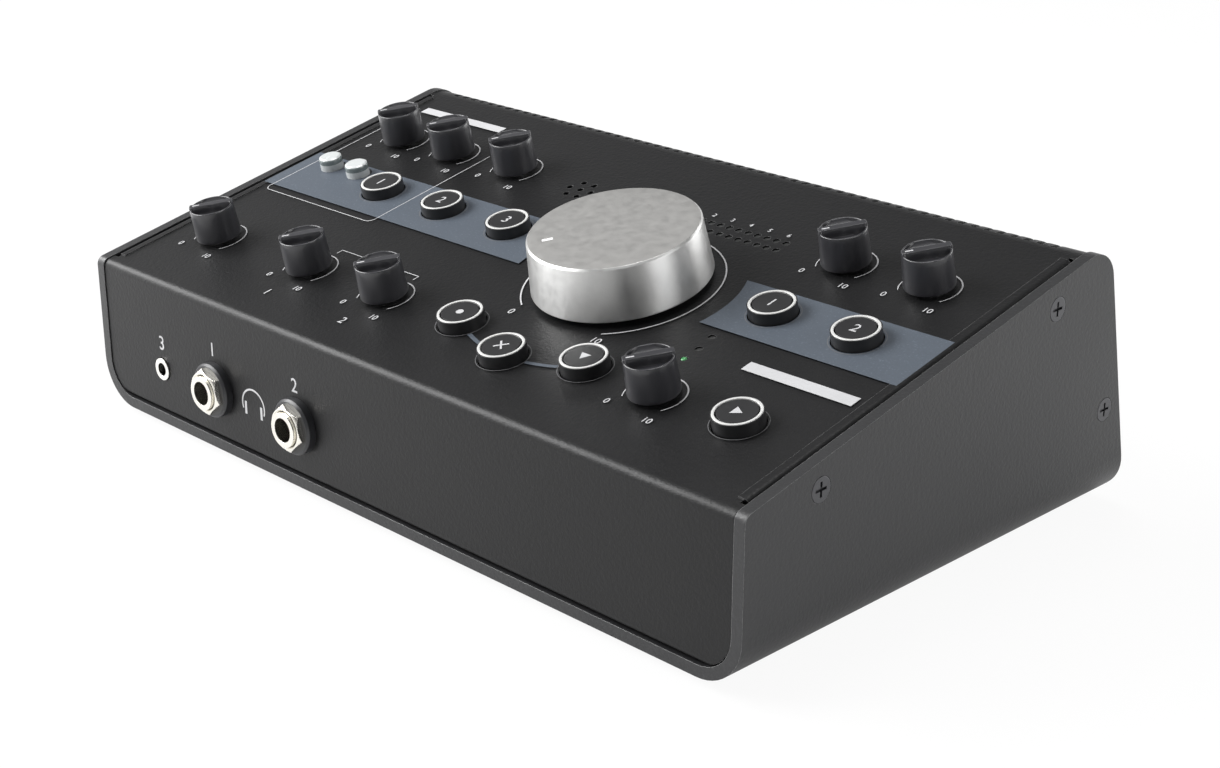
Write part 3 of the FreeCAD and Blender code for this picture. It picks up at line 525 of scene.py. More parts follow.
def surface_group(name, build):
    """A shared effect: colour and roughness in, varied colour, roughness and height out."""
    group = bpy.data.node_groups.new(name, "ShaderNodeTree")
    for socket, kind in (("Colour", "NodeSocketColor"), ("Roughness", "NodeSocketFloat"),
                         ("Amount", "NodeSocketFloat")):
        group.interface.new_socket(socket, in_out="INPUT", socket_type=kind)
    for socket, kind in (("Colour", "NodeSocketColor"), ("Roughness", "NodeSocketFloat"),
                         ("Height", "NodeSocketFloat")):
        group.interface.new_socket(socket, in_out="OUTPUT", socket_type=kind)
    entry = group.nodes.new("NodeGroupInput")
    leave = group.nodes.new("NodeGroupOutput")
    where = group.nodes.new("ShaderNodeTexCoord").outputs["Object"]
    colour, roughness, height = build(group, entry, where)
    for socket, value in (("Colour", colour), ("Roughness", roughness), ("Height", height)):
        group.links.new(value, leave.inputs[socket])
    return group


def grained(group, entry, pattern, gain):
    """A pattern times its gain and the Amount of the effect."""
    return maths(group, "MULTIPLY", pattern, maths(group, "MULTIPLY", entry.outputs["Amount"], gain))


def toned(group, entry, brightness):
    """The effect's colour times a brightness."""
    colour = group.nodes.new("ShaderNodeVectorMath")
    colour.operation = "SCALE"
    group.links.new(entry.outputs["Colour"], colour.inputs[0])
    group.links.new(brightness, colour.inputs["Scale"])
    return colour.outputs[0]


def uneven(group, entry, pattern, spread):
    """The effect's roughness, up or down by the pattern's distance from its middle."""
    drift = maths(group, "MULTIPLY", maths(group, "SUBTRACT", pattern, MIDDLE), spread)
    return maths(group, "ADD", entry.outputs["Roughness"], drift)


def powder_coat(group, entry, where):
    """Fine orange-peel grain of powder paint, with light and dark specks and faint handling haze."""
    grain = noise(group, where, *POWDER_GRAIN)
    peel = noise(group, where, *POWDER_PEEL)
    haze = noise(group, where, *POWDER_HAZE)
    speck = maths(group, "GREATER_THAN", grain, SPECK_LEVEL)
    base, gain = POWDER_TONE
    bright = maths(group, "ADD", base, grained(group, entry, grain, gain))
    bright = maths(group, "ADD", bright, grained(group, entry, speck, SPECK_GAIN))
    grain_relief, peel_relief = POWDER_RELIEF
    height = maths(group, "ADD", maths(group, "MULTIPLY", grain, grain_relief),
                   maths(group, "MULTIPLY", peel, peel_relief))
    return toned(group, entry, bright), uneven(group, entry, haze, POWDER_HAZE_SPREAD), height


def moulded(group, entry, where):
    """Fine spark-eroded grain of moulded plastic with slight patchy sheen."""
    grain = noise(group, where, *MOULDED_GRAIN)
    patch = noise(group, where, *MOULDED_PATCH)
    base, gain = MOULDED_TONE
    bright = maths(group, "ADD", base, grained(group, entry, patch, gain))
    return toned(group, entry, bright), uneven(group, entry, patch, MOULDED_SPREAD), grain


def plated(group, entry, where):
    """Metal with faint streaks of handling and a slight tone drift."""
    grain = noise(group, where, *PLATED_GRAIN)
    patch = noise(group, where, *PLATED_PATCH)
    base, gain = PLATED_TONE
    bright = maths(group, "ADD", base, grained(group, entry, patch, gain))
    return toned(group, entry, bright), uneven(group, entry, patch, PLATED_SPREAD), grain


POWDER = surface_group("powder_coat", powder_coat)
MOULDED = surface_group("moulded_grain", moulded)
PLATED = surface_group("plated_metal", plated)


def edge_wear_group():
    """Rubbed edges with a painted highlight: where the rounded normal leaves the true one, broken up by
    grain, the colour turns to a pale grey that stands partly for scuffed edges showing metal and partly for a
    painted highlight along the edge. Fac is the share of that grey."""
    group = bpy.data.node_groups.new("edge_wear_and_highlight", "ShaderNodeTree")
    group.interface.new_socket("Amount", in_out="INPUT", socket_type="NodeSocketFloat")
    group.interface.new_socket("Fac", in_out="OUTPUT", socket_type="NodeSocketFloat")
    entry = group.nodes.new("NodeGroupInput")
    leave = group.nodes.new("NodeGroupOutput")
    where = group.nodes.new("ShaderNodeTexCoord").outputs["Object"]
    soft = group.nodes.new("ShaderNodeBevel")
    soft.samples = WEAR_AND_HIGHLIGHT_SAMPLES
    soft.inputs["Radius"].default_value = WEAR_AND_HIGHLIGHT_RADIUS * MM
    true = group.nodes.new("ShaderNodeNewGeometry")
    facing = group.nodes.new("ShaderNodeVectorMath")
    facing.operation = "DOT_PRODUCT"
    group.links.new(soft.outputs[0], facing.inputs[0])
    group.links.new(true.outputs["True Normal"], facing.inputs[1])
    bend = maths(group, "SUBTRACT", WEAR_AND_HIGHLIGHT_BEND, facing.outputs["Value"])
    edge_speckle = noise(group, where, *EDGE_SPECKLE_GRAIN)
    wear_and_highlight_score = maths(group, "ADD", maths(group, "MULTIPLY", bend, WEAR_AND_HIGHLIGHT_GAIN), edge_speckle)
    bare_and_highlight = maths(group, "GREATER_THAN", wear_and_highlight_score, EDGE_SPECKLE_LEVEL)
    bare_and_highlight = maths(group, "MULTIPLY", bare_and_highlight, maths(group, "GREATER_THAN", bend, 0.0))
    group.links.new(maths(group, "MULTIPLY", bare_and_highlight, entry.outputs["Amount"]), leave.inputs["Fac"])
    return group


def smoke_band(material):
    """Darkens a switch cap between two heights above the panel, where the clear plastic shows its inside."""
    tree = material.node_tree
    surface = tree.nodes["Principled BSDF"]
    shown = surface.inputs["Base Color"].links[0].from_socket
    where = tree.nodes.new("ShaderNodeTexCoord").outputs["Object"]
    rise = tree.nodes.new("ShaderNodeVectorMath")
    rise.operation = "DOT_PRODUCT"
    rise.inputs[1].default_value = PANEL_NORMAL
    tree.links.new(where, rise.inputs[0])
    height = maths(tree, "SUBTRACT", rise.outputs["Value"], PANEL_NORMAL.dot(PANEL.translation))
    above = maths(tree, "GREATER_THAN", height, CAP_BAND[0] * MM)
    below = maths(tree, "LESS_THAN", height, CAP_BAND[1] * MM)
    tree.links.new(blend_colour(tree, maths(tree, "MULTIPLY", above, below), shown, CAP_SMOKE),
                   surface.inputs["Base Color"])


# Pale grey along sharp edges: partly exposed metal, partly a painted highlight
WEAR_AND_HIGHLIGHT = edge_wear_group()


def finish(name, effect, colour, roughness, bump=0.02, edge=0.0, wear_and_highlight=0.0, **shader):
    """A material that sends its colour through a shared effect. Lengths are millimetres: bump is the relief's
    depth, and edge rounds sharp corners for the light. Other names are the shader's own sockets."""
    material = bpy.data.materials.new(name)
    material.use_nodes = True
    tree = material.node_tree
    surface = tree.nodes["Principled BSDF"]
    effect_node = tree.nodes.new("ShaderNodeGroup")
    effect_node.node_tree = effect
    effect_node.inputs["Colour"].default_value = (*colour, 1)
    effect_node.inputs["Roughness"].default_value = roughness
    effect_node.inputs["Amount"].default_value = 1.0
    shown = effect_node.outputs["Colour"]
    # Paints a pale grey along sharp edges, partly exposed metal and partly a painted highlight
    if wear_and_highlight:
        wear_and_highlight_node = tree.nodes.new("ShaderNodeGroup")
        wear_and_highlight_node.node_tree = WEAR_AND_HIGHLIGHT
        wear_and_highlight_node.inputs["Amount"].default_value = wear_and_highlight
        shown = blend_colour(tree, wear_and_highlight_node.outputs["Fac"], shown, BARE_METAL_AND_HIGHLIGHT)
    tree.links.new(shown, surface.inputs["Base Color"])
    link(tree, effect_node, "Roughness", surface, "Roughness")
    relief = tree.nodes.new("ShaderNodeBump")
    relief.inputs["Strength"].default_value = 1.0
    relief.inputs["Distance"].default_value = bump * MM
    link(tree, effect_node, "Height", relief, "Height")
    if edge:
        soft = tree.nodes.new("ShaderNodeBevel")
        soft.samples = EDGE_SAMPLES
        soft.inputs["Radius"].default_value = edge * MM
        link(tree, soft, "Normal", relief, "Normal")
    link(tree, relief, "Normal", surface, "Normal")
    for socket, value in shader.items():
        surface.inputs[socket.replace("_", " ")].default_value = value
    return material


# The two paints get the pale edge grey: partly exposed metal, partly a painted highlight
COVER_PAINT = finish("cover_paint", POWDER, (0.0075, 0.0075, 0.008), 0.42, bump=0.1, edge=0.35, wear_and_highlight=0.3,
                     IOR=1.33)
CHASSIS_PAINT = finish("chassis_paint", POWDER, (0.019, 0.0192, 0.0205), 0.42, bump=0.1, edge=0.3, wear_and_highlight=0.45,
                       IOR=1.48)
SCREW_BLACK = finish("screw_black", PLATED, (0.085, 0.085, 0.09), 0.34, edge=0.15, Metallic=0.8)
FOOT_RUBBER = finish("foot_rubber", MOULDED, (0.014, 0.014, 0.014), 0.8, edge=0.3)
BOARD_GREEN = finish("board_green", MOULDED, (0.012, 0.07, 0.03), 0.35)
COMPONENT_BLACK = finish("component_black", MOULDED, (0.02, 0.02, 0.022), 0.5, edge=0.15)
LAMP_LENS = finish("lamp_lens", MOULDED, (0.03, 0.031, 0.03), 0.3, edge=0.1, Coat_Weight=0.5)
CAPSULE = finish("capsule_can", PLATED, (0.05, 0.05, 0.05), 0.4, Metallic=1.0)
SOCKET_BLACK = finish("socket_black", MOULDED, (0.013, 0.013, 0.014), 0.42, edge=0.15)
COLLAR_GREY = finish("collar_grey", MOULDED, (0.022, 0.0225, 0.025), 0.38, edge=0.25)
NICKEL = finish("bright_nickel", PLATED, (0.78, 0.76, 0.70), 0.2, edge=0.12, Metallic=1.0)
MINI_METAL = finish("mini_jack_nickel", PLATED, (0.78, 0.77, 0.73), 0.18, edge=0.15, Metallic=1.0)
SHELL_STEEL = finish("shell_steel", PLATED, (0.5, 0.5, 0.5), 0.32, edge=0.15, Metallic=1.0)
SHAFT_METAL = finish("shaft_metal", PLATED, (0.5, 0.5, 0.5), 0.35, edge=0.1, Metallic=1.0)
BUTTON_BLACK = finish("button_black", MOULDED, (0.012, 0.012, 0.013), 0.38, bump=0.006, edge=0.2)
RING_WHITE = finish("ring_white", MOULDED, (0.56, 0.56, 0.55), 0.35, bump=0.004, Coat_Weight=0.3)
KNOB_CHARCOAL = finish("knob_charcoal", MOULDED, (0.027, 0.027, 0.031), 0.34, bump=0.005, Coat_Weight=0.4,
                       Coat_Roughness=0.2)
CAP_TRANSLUCENT = finish("cap_translucent", MOULDED, (0.52, 0.54, 0.54), 0.25, bump=0.004, edge=0.3,
                         Coat_Weight=0.6, Coat_Roughness=0.1)
smoke_band(CAP_TRANSLUCENT)
INK_WHITE = finish("ink_white", MOULDED, (0.46, 0.46, 0.47), 0.55, bump=0.004)
# Grey of the thin rings round the button holes
OUTLINE_GREY = finish("outline_grey", MOULDED, (0.13, 0.13, 0.135), 0.55, bump=0.004)
INK_SLATE = finish("ink_slate", POWDER, (0.070, 0.084, 0.104), 0.5, bump=0.008, IOR=1.4)
VOLUME_FACE = finish("volume_face", PLATED, (0.41, 0.405, 0.395), 0.52, bump=0.006, Metallic=1.0)
VOLUME_SIDE = finish("volume_side", PLATED, (0.72, 0.72, 0.71), 0.42, bump=0.004, Metallic=1.0,
                     Anisotropic=0.75, Anisotropic_Rotation=0.25)
INK_BRIGHT = finish("ink_bright", MOULDED, (0.9, 0.9, 0.9), 0.5, bump=0.002)
GREEN_LAMP = finish("green_lamp", MOULDED, (0.03, 0.22, 0.06), 0.3, Coat_Weight=0.5)

NODE_FINISHES = {
    "base_chassis": CHASSIS_PAINT, "top_cover": COVER_PAINT, "casing_screws": SCREW_BLACK,
    "rubber_feet": FOOT_RUBBER, "control_board": BOARD_GREEN, "jack_board": BOARD_GREEN,
    "potentiometers": COMPONENT_BLACK, "key_switches": COMPONENT_BLACK, "level_leds": LAMP_LENS,
    "talkback_microphone": CAPSULE, "phones_jacks": NICKEL, "line_jacks": SOCKET_BLACK,
    "combo_sockets": SOCKET_BLACK, "dc_inlet": SOCKET_BLACK, "power_switch": SOCKET_BLACK,
    "jack_collars": COLLAR_GREY, "jack_nuts": NICKEL, "aux_mini_jack": MINI_METAL,
    "usb_socket": SHELL_STEEL, "power_button": BUTTON_BLACK, "volume_shaft": SHAFT_METAL,
    "volume_knob": VOLUME_SIDE,
}
NODE_FINISHES.update({name + "_knob": KNOB_CHARCOAL for name in SMALL_KNOBS})
NODE_FINISHES.update({name + "_shaft": SHAFT_METAL for name in SMALL_KNOBS})
NODE_FINISHES.update({name + "_button": BUTTON_BLACK for name in ROUND_BUTTONS})
NODE_FINISHES.update({name + "_light_ring": RING_WHITE for name in ROUND_BUTTONS})
NODE_FINISHES.update({name + "_cap": CAP_TRANSLUCENT for name in SMALL_SWITCHES})


def dress_nodes():
    """Gives every carried-over node its finish in its own material slots."""
    for name, material in NODE_FINISHES.items():
        node = frame["nodes"][name]
        if not node.material_slots:
            node.data.materials.append(material)
        for place in node.material_slots:
            place.material = material


def bar_share(radius, angle):
    """How far points at an angle and a radius lie from the finger bar's middle line, and whether they are on
    the bar: 1 on it, 0 beside it and a blend at its sides."""
    bar_x, bar_s = clock(POINTER_REST)
    away = np.abs(radius * (np.cos(angle) * bar_s - np.sin(angle) * bar_x))
    return away, smooth_step(((KNOB_BAR_W + KNOB_BAR_BLEND) / 2 - away) / KNOB_BAR_BLEND)


def knob_side_rows(angle):
    """Rows of (radius, height) up to the rim: underside, round lower edge, taper and round upper edge. The
    taper's height ends at the rim's, or at the finger bar's where that crosses it."""
    level = 0 * angle
    _, bar = bar_share(KNOB_RIM_R, angle)
    crown = KNOB_RIM_H + (KNOB_BAR_H - KNOB_RIM_H) * bar
    low = KNOB_BASE_H + KNOB_BASE_EDGE
    rows = [(level + r, level + KNOB_BASE_H)
            for r in (0, KNOB_BASE_R - KNOB_UNDERSIDE, KNOB_BASE_R - KNOB_BASE_EDGE)]
    for t in np.radians(EDGE_ANGLES):
        rows.append((level + KNOB_BASE_R - KNOB_BASE_EDGE * (1 - math.sin(t)),
                     level + low - KNOB_BASE_EDGE * math.cos(t)))
    for t in np.linspace(0.1, 1, KNOB_SIDE_ROWS):
        rows.append((level + KNOB_BASE_R + (KNOB_RIM_R - KNOB_BASE_R) * t,
                     low + (crown - KNOB_RIM_EDGE - low) * t))
    for t in np.radians(EDGE_ANGLES):
        rows.append((level + KNOB_RIM_R - KNOB_RIM_EDGE * (1 - math.cos(t)),
                     crown - KNOB_RIM_EDGE * (1 - math.sin(t))))
    return rows


def knob_top_rows(angle):
    """Rows of (radius, height) from the rim to the axis. On the finger bar the height is the bar's. Beside
    it, at a distance w from its middle, it is low + R - sqrt(R^2 - (w - half the bar - offset)^2) with the
    scoop's radius R, eased up to the rim's height at the edge."""
    rows = []
    low = KNOB_RIM_H - KNOB_SCOOP_DEPTH
    inner = KNOB_RIM_R - KNOB_LAND
    land = np.linspace(inner, inner - KNOB_LAND_END, KNOB_LAND_ROWS)
    for radius in np.concatenate([land, np.linspace(inner - KNOB_TOP_START, 0, KNOB_TOP_ROWS)]):
        away, bar = bar_share(radius, angle)
        reach = np.abs(away - KNOB_BAR_W / 2 - KNOB_SCOOP_OFFSET)
        reach = np.clip(reach, 0, KNOB_SCOOP_R * KNOB_SCOOP_REACH)
        scoop = np.minimum(low + KNOB_SCOOP_R - np.sqrt(KNOB_SCOOP_R ** 2 - reach ** 2), KNOB_RIM_H)
        edge = smooth_step((radius - inner + KNOB_SCOOP_BLEND) / KNOB_SCOOP_BLEND)
        scoop = scoop + (KNOB_RIM_H - scoop) * edge
        rows.append((0 * angle + radius, scoop + (KNOB_BAR_H - scoop) * bar))
    return rows


def turned_rows(rows, angle, x, s, matrix):
    """Grid of rows of (radius, height), each an array with one value for each angle, round x, s. The point at
    angle a is (x + radius cos a, s + radius sin a, height)."""
    radius = np.array([r for r, _ in rows])
    height = np.array([h for _, h in rows])
    points = np.stack([x + radius * np.cos(angle), s + radius * np.sin(angle), height], axis=-1)
    return placed(points.reshape(-1, 3), matrix), grid_faces(len(rows), len(angle), True)


def pointer_line(x, s, ends, width):
    """The printed pointer of a knob at rest, between two distances from its axis."""
    bar_x, bar_s = clock(POINTER_REST)
    start, end = ((x + r * bar_x, s + r * bar_s) for r in ends)
    return stroke(start, end, width)


def small_knob(name):
    """Soft-touch knob with a finger bar between two scoops, and its pointer."""
    x, s = KNOB_PLACES[name]
    body = name + "_control"
    angle = np.linspace(0, TURN, KNOB_COLUMNS, endpoint=False)
    part = turned_rows(knob_side_rows(angle) + knob_top_rows(angle), angle, x, s, PANEL)
    piece = new_piece(name + "_grip", [part], KNOB_CHARCOAL, body, smooth=True)
    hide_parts(name + "_knob")
    printed(name + "_pointer", [pointer_line(x, s, KNOB_POINTER, KNOB_POINTER_WIDTH)], PANEL, INK_WHITE, body,
            KNOB_BAR_H + INK_LIFT)


def volume_knob():
    """Turned aluminium knob: one rounded profile revolved, blasted on top and brushed round its side."""
    x, s = VOLUME_PLACE
    wider, lower = VOLUME_CHAMFER
    profile = rounded([(0, VOLUME_BASE_H), (VOLUME_BASE_R, VOLUME_BASE_H),
                       (VOLUME_RIM_R + wider, VOLUME_HEIGHT - lower),
                       (VOLUME_RIM_R, VOLUME_HEIGHT), (0, VOLUME_HEIGHT)], VOLUME_ARCS)
    profile[-1:-1] = [(radius, VOLUME_HEIGHT) for radius in VOLUME_TOP_RINGS]
    part = revolved(profile, VOLUME_COLUMNS, x, s, PANEL)
    piece = new_piece("volume_knob_turned", [part], VOLUME_SIDE, "volume_control",
                      smooth=True)
    piece.data.materials.append(VOLUME_FACE)
    facing = np.empty(len(piece.data.polygons) * 3)
    piece.data.polygons.foreach_get("normal", facing)
    flat = facing.reshape(-1, 3) @ np.array(PANEL_NORMAL) > FLAT_TOP
    piece.data.polygons.foreach_set("material_index", flat.astype(int))
    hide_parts("volume_knob")
    printed("volume_pointer", [pointer_line(x, s, VOLUME_POINTER, VOLUME_POINTER_WIDTH)], PANEL, INK_BRIGHT,
            "volume_control", VOLUME_HEIGHT + INK_LIFT)


def light_ring(name):
    """Raised white ring with a rounded crown, let into the button's top."""
    x, s = BUTTON_PLACES[name]
    part = revolved(rounded(RING_PROFILE, RING_ARCS), RING_COLUMNS, x, s, PANEL)
    ring = new_piece(name + "_ring", [part], RING_WHITE, name + "_key", smooth=True)
    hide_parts(name + "_light_ring")


def hex_nuts():
    """Nickel nuts of the jack sockets. The outline at angle a lies at flats / 2 / cos(a mod 60 - 30 degrees)
    and, in the chamfer of the outer corners, at no more than a circle that shrinks towards the face."""
    angle = np.linspace(0, TURN, NUT_COLUMNS, endpoint=False)
    level = 0 * angle
    sixth = math.pi / 3
    outline = NUT_FLATS / 2 / np.cos(np.mod(angle + NUT_TURN, sixth) - sixth / 2)
    parts = []
    for x, up, base, matrix in NUT_PLACES:
        front = base + NUT_THICK
        rows = [(level + NUT_BORE, level + base), (outline, level + base)]
        rows += [(np.minimum(outline, radius), level + front - drop) for drop, radius in NUT_CHAMFER]
        rows += [(level + NUT_BORE + NUT_MOUTH, level + front),
                 (level + NUT_BORE, level + front - NUT_MOUTH_DEPTH), rows[0]]
        parts.append(turned_rows(rows, angle, x, up, matrix))
    piece = new_piece("socket_hex_nuts", parts, NICKEL, "casing")
    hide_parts("jack_nuts")


def glyph(name):
    """White mark on a round button: a plain number or a plain sign."""
    x, s = BUTTON_PLACES[name]
    if name in BUTTON_NUMBERS:
        parts = [number(BUTTON_NUMBERS[name], x, s, BUTTON_FIGURE)]
    elif name == "mono":
        parts = [filled([circle(x, s, DOT_R)])]
    elif name == "mute":
        parts = [stroke((x + x0, s + s0), (x + x1, s + s1), CROSS_WIDTH)
                 for (x0, s0), (x1, s1) in CROSS_LINES]
    else:
        arrow = ARROW_DOWN if name == "dim" else ARROW_RIGHT
        parts = [filled([np.array(arrow) + (x, s)])]
    printed(name + "_mark", parts, PANEL, INK_WHITE, name + "_key", BUTTON_TOP + INK_LIFT)


def band(side, arc_radius, holes):
    """Slate band on one side, its inner end cut by a circle round the volume knob, with holes left free."""
    cx, cs = VOLUME_PLACE
    s = np.linspace(BAND_FRONT, BAND_REAR, BAND_STEPS)
    curve = cx + side * np.sqrt(arc_radius ** 2 - (s - cs) ** 2)
    end = side * BAND_END
    outline = np.concatenate([np.column_stack([curve, s]), [[end, BAND_REAR], [end, BAND_FRONT]]])
    return filled([outline] + holes)


def button_links():
    """Slate arcs round the volume knob that join the dim, mute and mono buttons."""
    cx, cs = VOLUME_PLACE
    gap = math.degrees(LINK_GAP / LINK_R)
    places = (BUTTON_PLACES[name] for name in ("dim", "mute", "mono"))
    angles = [math.degrees(math.atan2(x - cx, s - cs)) % 360 for x, s in places]
    return [arc_line(cx, cs, LINK_R, first + gap, last - first - 2 * gap, LINK_WIDTH)
            for first, last in zip(angles, angles[1:])]


def slate_bands():
    """The two bands behind the buttons and the links between three others."""
    hole = {name: circle(*place, BUTTON_HOLE_R) for name, place in BUTTON_PLACES.items()}
    caps = [circle(*place, CAP_HOLE_R, CAP_HOLE_STEPS) for place in SWITCH_PLACES.values()]
    right = band(1, RIGHT_BAND_ARC, [hole["monitor_a"], hole["monitor_b"]])
    left = band(-1, LEFT_BAND_ARC, [hole["usb_source"], hole["source_34"], hole["source_12"]] + caps)
    parts = [right, left] + button_links()
    printed("slate_bands", parts, PANEL, INK_SLATE, "casing", BAND_LIFT)


def figures(items, x, s, reach, height):
    """Numbers at clock angles round a knob."""
    parts = []
    for text, angle in items:
        across, along = clock(angle)
        parts.append(number(text, x + reach * across, s + reach * along, height))
    return parts


def scales():
    """Arcs and end figures round the volume knob and the small knobs."""
    x, s = VOLUME_PLACE
    parts = [arc_line(x, s, VOLUME_SCALE_R, *VOLUME_SCALE, BOLD_LINE)]
    parts += figures(VOLUME_FIGURES, x, s, VOLUME_FIGURE_R, VOLUME_FIGURE)
    for x, s in KNOB_PLACES.values():
        parts += [arc_line(x, s, SCALE_R, *arc) for arc in SCALE_ARCS]
        parts += figures(SCALE_FIGURES, x, s, SCALE_FIGURE_R, SCALE_FIGURE)
    return parts


def input_box():
    """Line round the input section: a long left side, rounded front corners and a shorter right side."""
    return [stroke((BOX_LEFT, BOX_FRONT + BOX_CORNER), (BOX_LEFT, BOX_LEFT_REAR), LINE),
            stroke((BOX_LEFT + BOX_CORNER, BOX_FRONT), (BOX_RIGHT - BOX_CORNER, BOX_FRONT), LINE),
            stroke((BOX_RIGHT, BOX_FRONT + BOX_CORNER), (BOX_RIGHT, BOX_RIGHT_REAR), LINE),
            arc_line(BOX_LEFT + BOX_CORNER, BOX_FRONT + BOX_CORNER, BOX_CORNER, 180, 90, LINE),
            arc_line(BOX_RIGHT - BOX_CORNER, BOX_FRONT + BOX_CORNER, BOX_CORNER, 90, 90, LINE)]


def phones_bracket():
    """Bracket and numbers that join the two headphone knobs."""
    x1, x2 = KNOB_PLACES["phones_1"][0], KNOB_PLACES["phones_2"][0]
    corners = [(x1, BRACKET_FOOT), (x1, BRACKET_TOP), (x2, BRACKET_TOP), (x2, BRACKET_FOOT)]
    lines = [stroke(start, end, LINE) for start, end in zip(corners, corners[1:])]
    return lines + [number(text, x, PHONES_FIGURE_S, PHONES_FIGURE) for text, x in (("1", x1), ("2", x2))]


def meter_figures():
    """Plain numbers behind every second lamp of the level meter."""
    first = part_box("level_leds")[0][0] / MM + METER_EDGE
    return [number(str(i), first + METER_STEP * (2 * i - 1.5), METER_FIGURE_S, METER_FIGURE)
            for i in range(1, METER_FIGURES + 1)]


def printed_top():
    """All that is laid on the top panel: printed bands, scales and plain numbers, and thin grey rings round
    the button holes.
    """
    slate_bands()
    white = scales() + input_box() + phones_bracket() + meter_figures()
    printed("white_print", white, PANEL, INK_WHITE, "casing")
    strips = [stroke(*strip) for strip in PLAIN_STRIPS]
    printed("plain_strips", strips, PANEL, INK_WHITE, "casing", STRIP_LIFT)
    # A thin grey ring round each button's hole
    rings = [arc_line(x, s, OUTLINE_R, 0, 360, OUTLINE_WIDTH) for x, s in BUTTON_PLACES.values()]
    printed("button_outlines", rings, PANEL, OUTLINE_GREY, "casing")


def headset(x, z):
    """Headphone sign: an arched headband of half-ellipse with two ear pads."""
    angle = np.linspace(-HEADBAND_OVERRUN * math.pi, (1 + HEADBAND_OVERRUN) * math.pi, HEADBAND_STEPS)
    wide, tall = HEADBAND_R
    rings = [np.stack([x + (wide + side) * np.cos(angle), z - HEADBAND_DROP + (tall + side) * np.sin(angle),
                       0 * angle], axis=-1) for side in (-HEADBAND_HALF, HEADBAND_HALF)]
    arch = upward(np.concatenate(rings), grid_faces(2, len(angle), False))
    low, high = PAD_ENDS
    pads = [stroke((x + across, z + low), (x + across, z + high), PAD_WIDTH) for across in (-PAD_X, PAD_X)]
    return [arch] + pads


def printed_front():
    """Plain socket numbers and the headphone sign on the front."""
    parts = [number(*figure) for figure in FRONT_FIGURES] + headset(*HEADSET_PLACE)
    printed("front_print", parts, FRONT, INK_WHITE, "casing")


def green_status_lamp():
    """Faintly lit lens over the last status lamp."""
    part = revolved(GREEN_LAMP_PROFILE, GREEN_LAMP_COLUMNS, *GREEN_LAMP_PLACE, PANEL)
    new_piece("status_lamp_green", [part], GREEN_LAMP, "casing", smooth=True)


def kept_in_range(tree, value):
    """The value, at least 0 and at most 1."""
    return maths(tree, "MINIMUM", maths(tree, "MAXIMUM", value, 0.0), 1.0)


def horizon_glow(sky, heading):
    """White cyclorama all round but for a dark gap at the camera, brightest low down."""
    away = sky.nodes.new("ShaderNodeVectorMath")
    away.operation = "DOT_PRODUCT"
    away.inputs[1].default_value = (-math.sin(CAMERA_AZIMUTH), math.cos(CAMERA_AZIMUTH), 0)
    sky.links.new(heading, away.inputs[0])
    split = sky.nodes.new("ShaderNodeSeparateXYZ")
    sky.links.new(heading, split.inputs[0])
    low = maths(sky, "SUBTRACT", 1.0, maths(sky, "DIVIDE", split.outputs["Z"], HORIZON_HEIGHT))
    behind = maths(sky, "ADD", maths(sky, "MULTIPLY", away.outputs["Value"], GAP_SLOPE), GAP_LEVEL)
    both = maths(sky, "MULTIPLY", kept_in_range(sky, low), kept_in_range(sky, behind))
    return maths(sky, "MULTIPLY", both, HORIZON_LEVEL)


def floor_material():
    """White floor that glows for the camera and a little for mirrors, and is plain matt for the rest."""
    pale = bpy.data.materials.new("floor_white")
    pale.use_nodes = True
    tree = pale.node_tree
    surface = tree.nodes["Principled BSDF"]
    surface.inputs["Base Color"].default_value = FLOOR_COLOUR
    surface.inputs["Roughness"].default_value = FLOOR_ROUGHNESS
    surface.inputs["Specular IOR Level"].default_value = 0.0
    shine = tree.nodes.new("ShaderNodeEmission")
    shine.inputs["Color"].default_value = (1, 1, 1, 1)
    path = tree.nodes.new("ShaderNodeLightPath")
    mix = tree.nodes.new("ShaderNodeMixShader")
    seen = maths(tree, "MAXIMUM", maths(tree, "MULTIPLY", path.outputs["Is Camera Ray"], FLOOR_GLOW),
                 maths(tree, "MULTIPLY", path.outputs["Is Glossy Ray"], FLOOR_SHEEN))
    tree.links.new(seen, mix.inputs[0])
    tree.links.new(surface.outputs[0], mix.inputs[1])
    tree.links.new(shine.outputs[0], mix.inputs[2])
    tree.links.new(mix.outputs[0], tree.nodes["Material Output"].inputs["Surface"])
    return pale


def floor_plane():
    """A large level floor under the feet."""
    mesh = bpy.data.meshes.new("floor")
    reach = FLOOR_REACH
    corners = [(-reach, -reach, 0), (reach, -reach, 0), (reach, reach, 0), (-reach, reach, 0)]
    mesh.from_pydata(corners, [], [(0, 1, 2, 3)])
    mesh.materials.append(floor_material())
    floor = bpy.data.objects.new("floor", mesh)
    bpy.context.scene.collection.objects.link(floor)


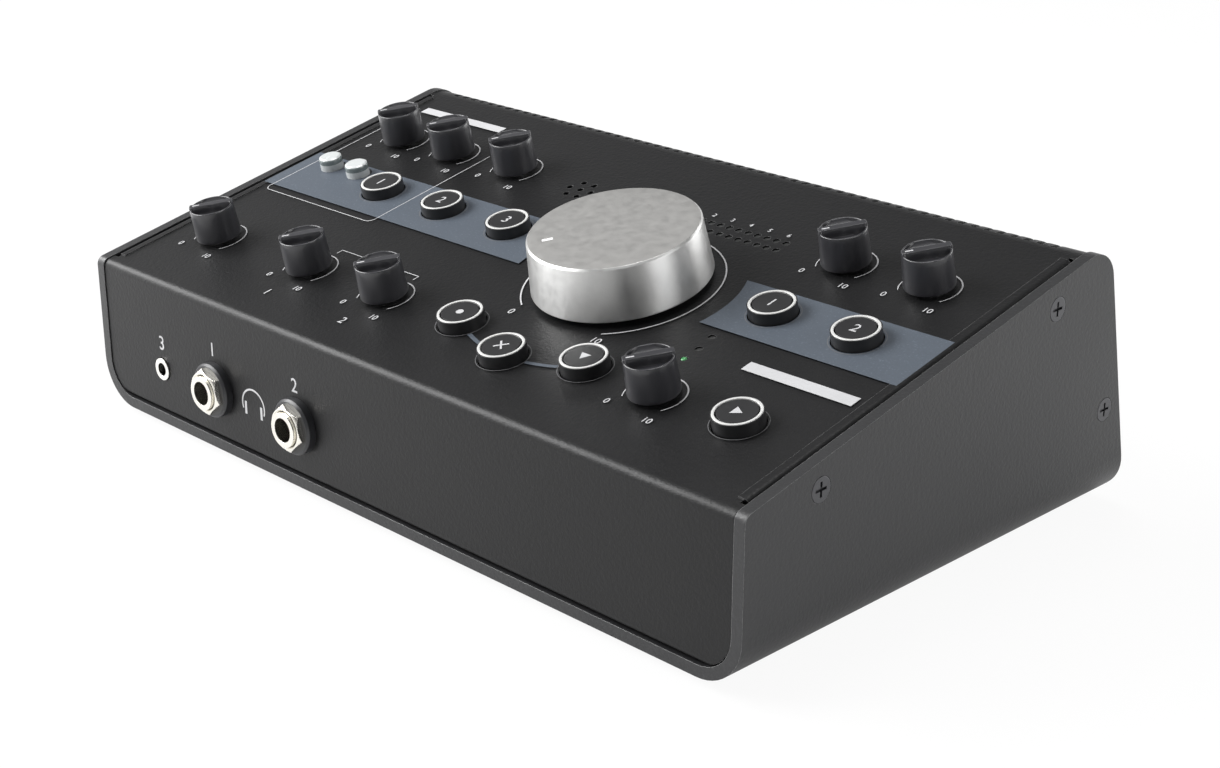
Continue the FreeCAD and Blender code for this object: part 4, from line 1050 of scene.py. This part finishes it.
def white_surroundings():
    """World that is white to the camera and lights the object with a faint sky and the horizon's glow."""
    world = bpy.data.worlds.new("studio")
    bpy.context.scene.world = world
    world.use_nodes = True
    sky = world.node_tree
    back = sky.nodes["Background"]
    rays = sky.nodes.new("ShaderNodeLightPath")
    clear = maths(sky, "MAXIMUM", rays.outputs["Is Camera Ray"], rays.outputs["Is Transmission Ray"])
    heading = sky.nodes.new("ShaderNodeTexCoord").outputs["Generated"]
    level = maths(sky, "ADD", horizon_glow(sky, heading), WORLD_LEVEL)
    level = maths(sky, "MAXIMUM", level, clear)
    back.inputs["Color"].default_value = (1, 1, 1, 1)
    sky.links.new(level, back.inputs["Strength"])


def lamps():
    """Rectangular softboxes, each turned to the object."""
    for name, place, width, height, power in LAMPS:
        light = bpy.data.lights.new(name, "AREA")
        light.shape = "RECTANGLE"
        light.size, light.size_y = width, height
        light.energy = power
        lamp = bpy.data.objects.new(name, light)
        lamp.location = place
        lamp.rotation_mode = "QUATERNION"
        lamp.rotation_quaternion = (LAMP_TARGET - Vector(place)).to_track_quat("-Z", "Y")
        bpy.context.scene.collection.objects.link(lamp)


def camera():
    """Camera at the photograph's place and angle."""
    a, e, roll = CAMERA_AZIMUTH, CAMERA_ELEVATION, CAMERA_ROLL
    ahead = Vector((-math.sin(a) * math.cos(e), math.cos(a) * math.cos(e), -math.sin(e)))
    right = Vector((math.cos(a), math.sin(a), 0))
    up = right.cross(ahead)
    turned_right = right * math.cos(roll) + up * math.sin(roll)
    turned_up = up * math.cos(roll) - right * math.sin(roll)
    data = bpy.data.cameras.new("photo_camera")
    data.sensor_width = SENSOR
    data.lens = FOCAL_PIXELS * SENSOR / PHOTO_WIDTH
    data.clip_start = CAMERA_CLIP
    view = bpy.data.objects.new("photo_camera", data)
    turn = Matrix((turned_right, turned_up, -ahead)).transposed().to_4x4()
    view.matrix_world = Matrix.Translation(CAMERA_PLACE * MM) @ turn
    bpy.context.scene.collection.objects.link(view)
    bpy.context.scene.camera = view


camera()
floor_plane()
white_surroundings()
lamps()
dress_nodes()
for knob_name in SMALL_KNOBS:
    small_knob(knob_name)
volume_knob()
for button_name in ROUND_BUTTONS:
    glyph(button_name)
    light_ring(button_name)
hex_nuts()
printed_top()
printed_front()
green_status_lamp()

bpy.context.scene.view_settings.view_transform = "Standard"
bpy.context.view_layer.update()
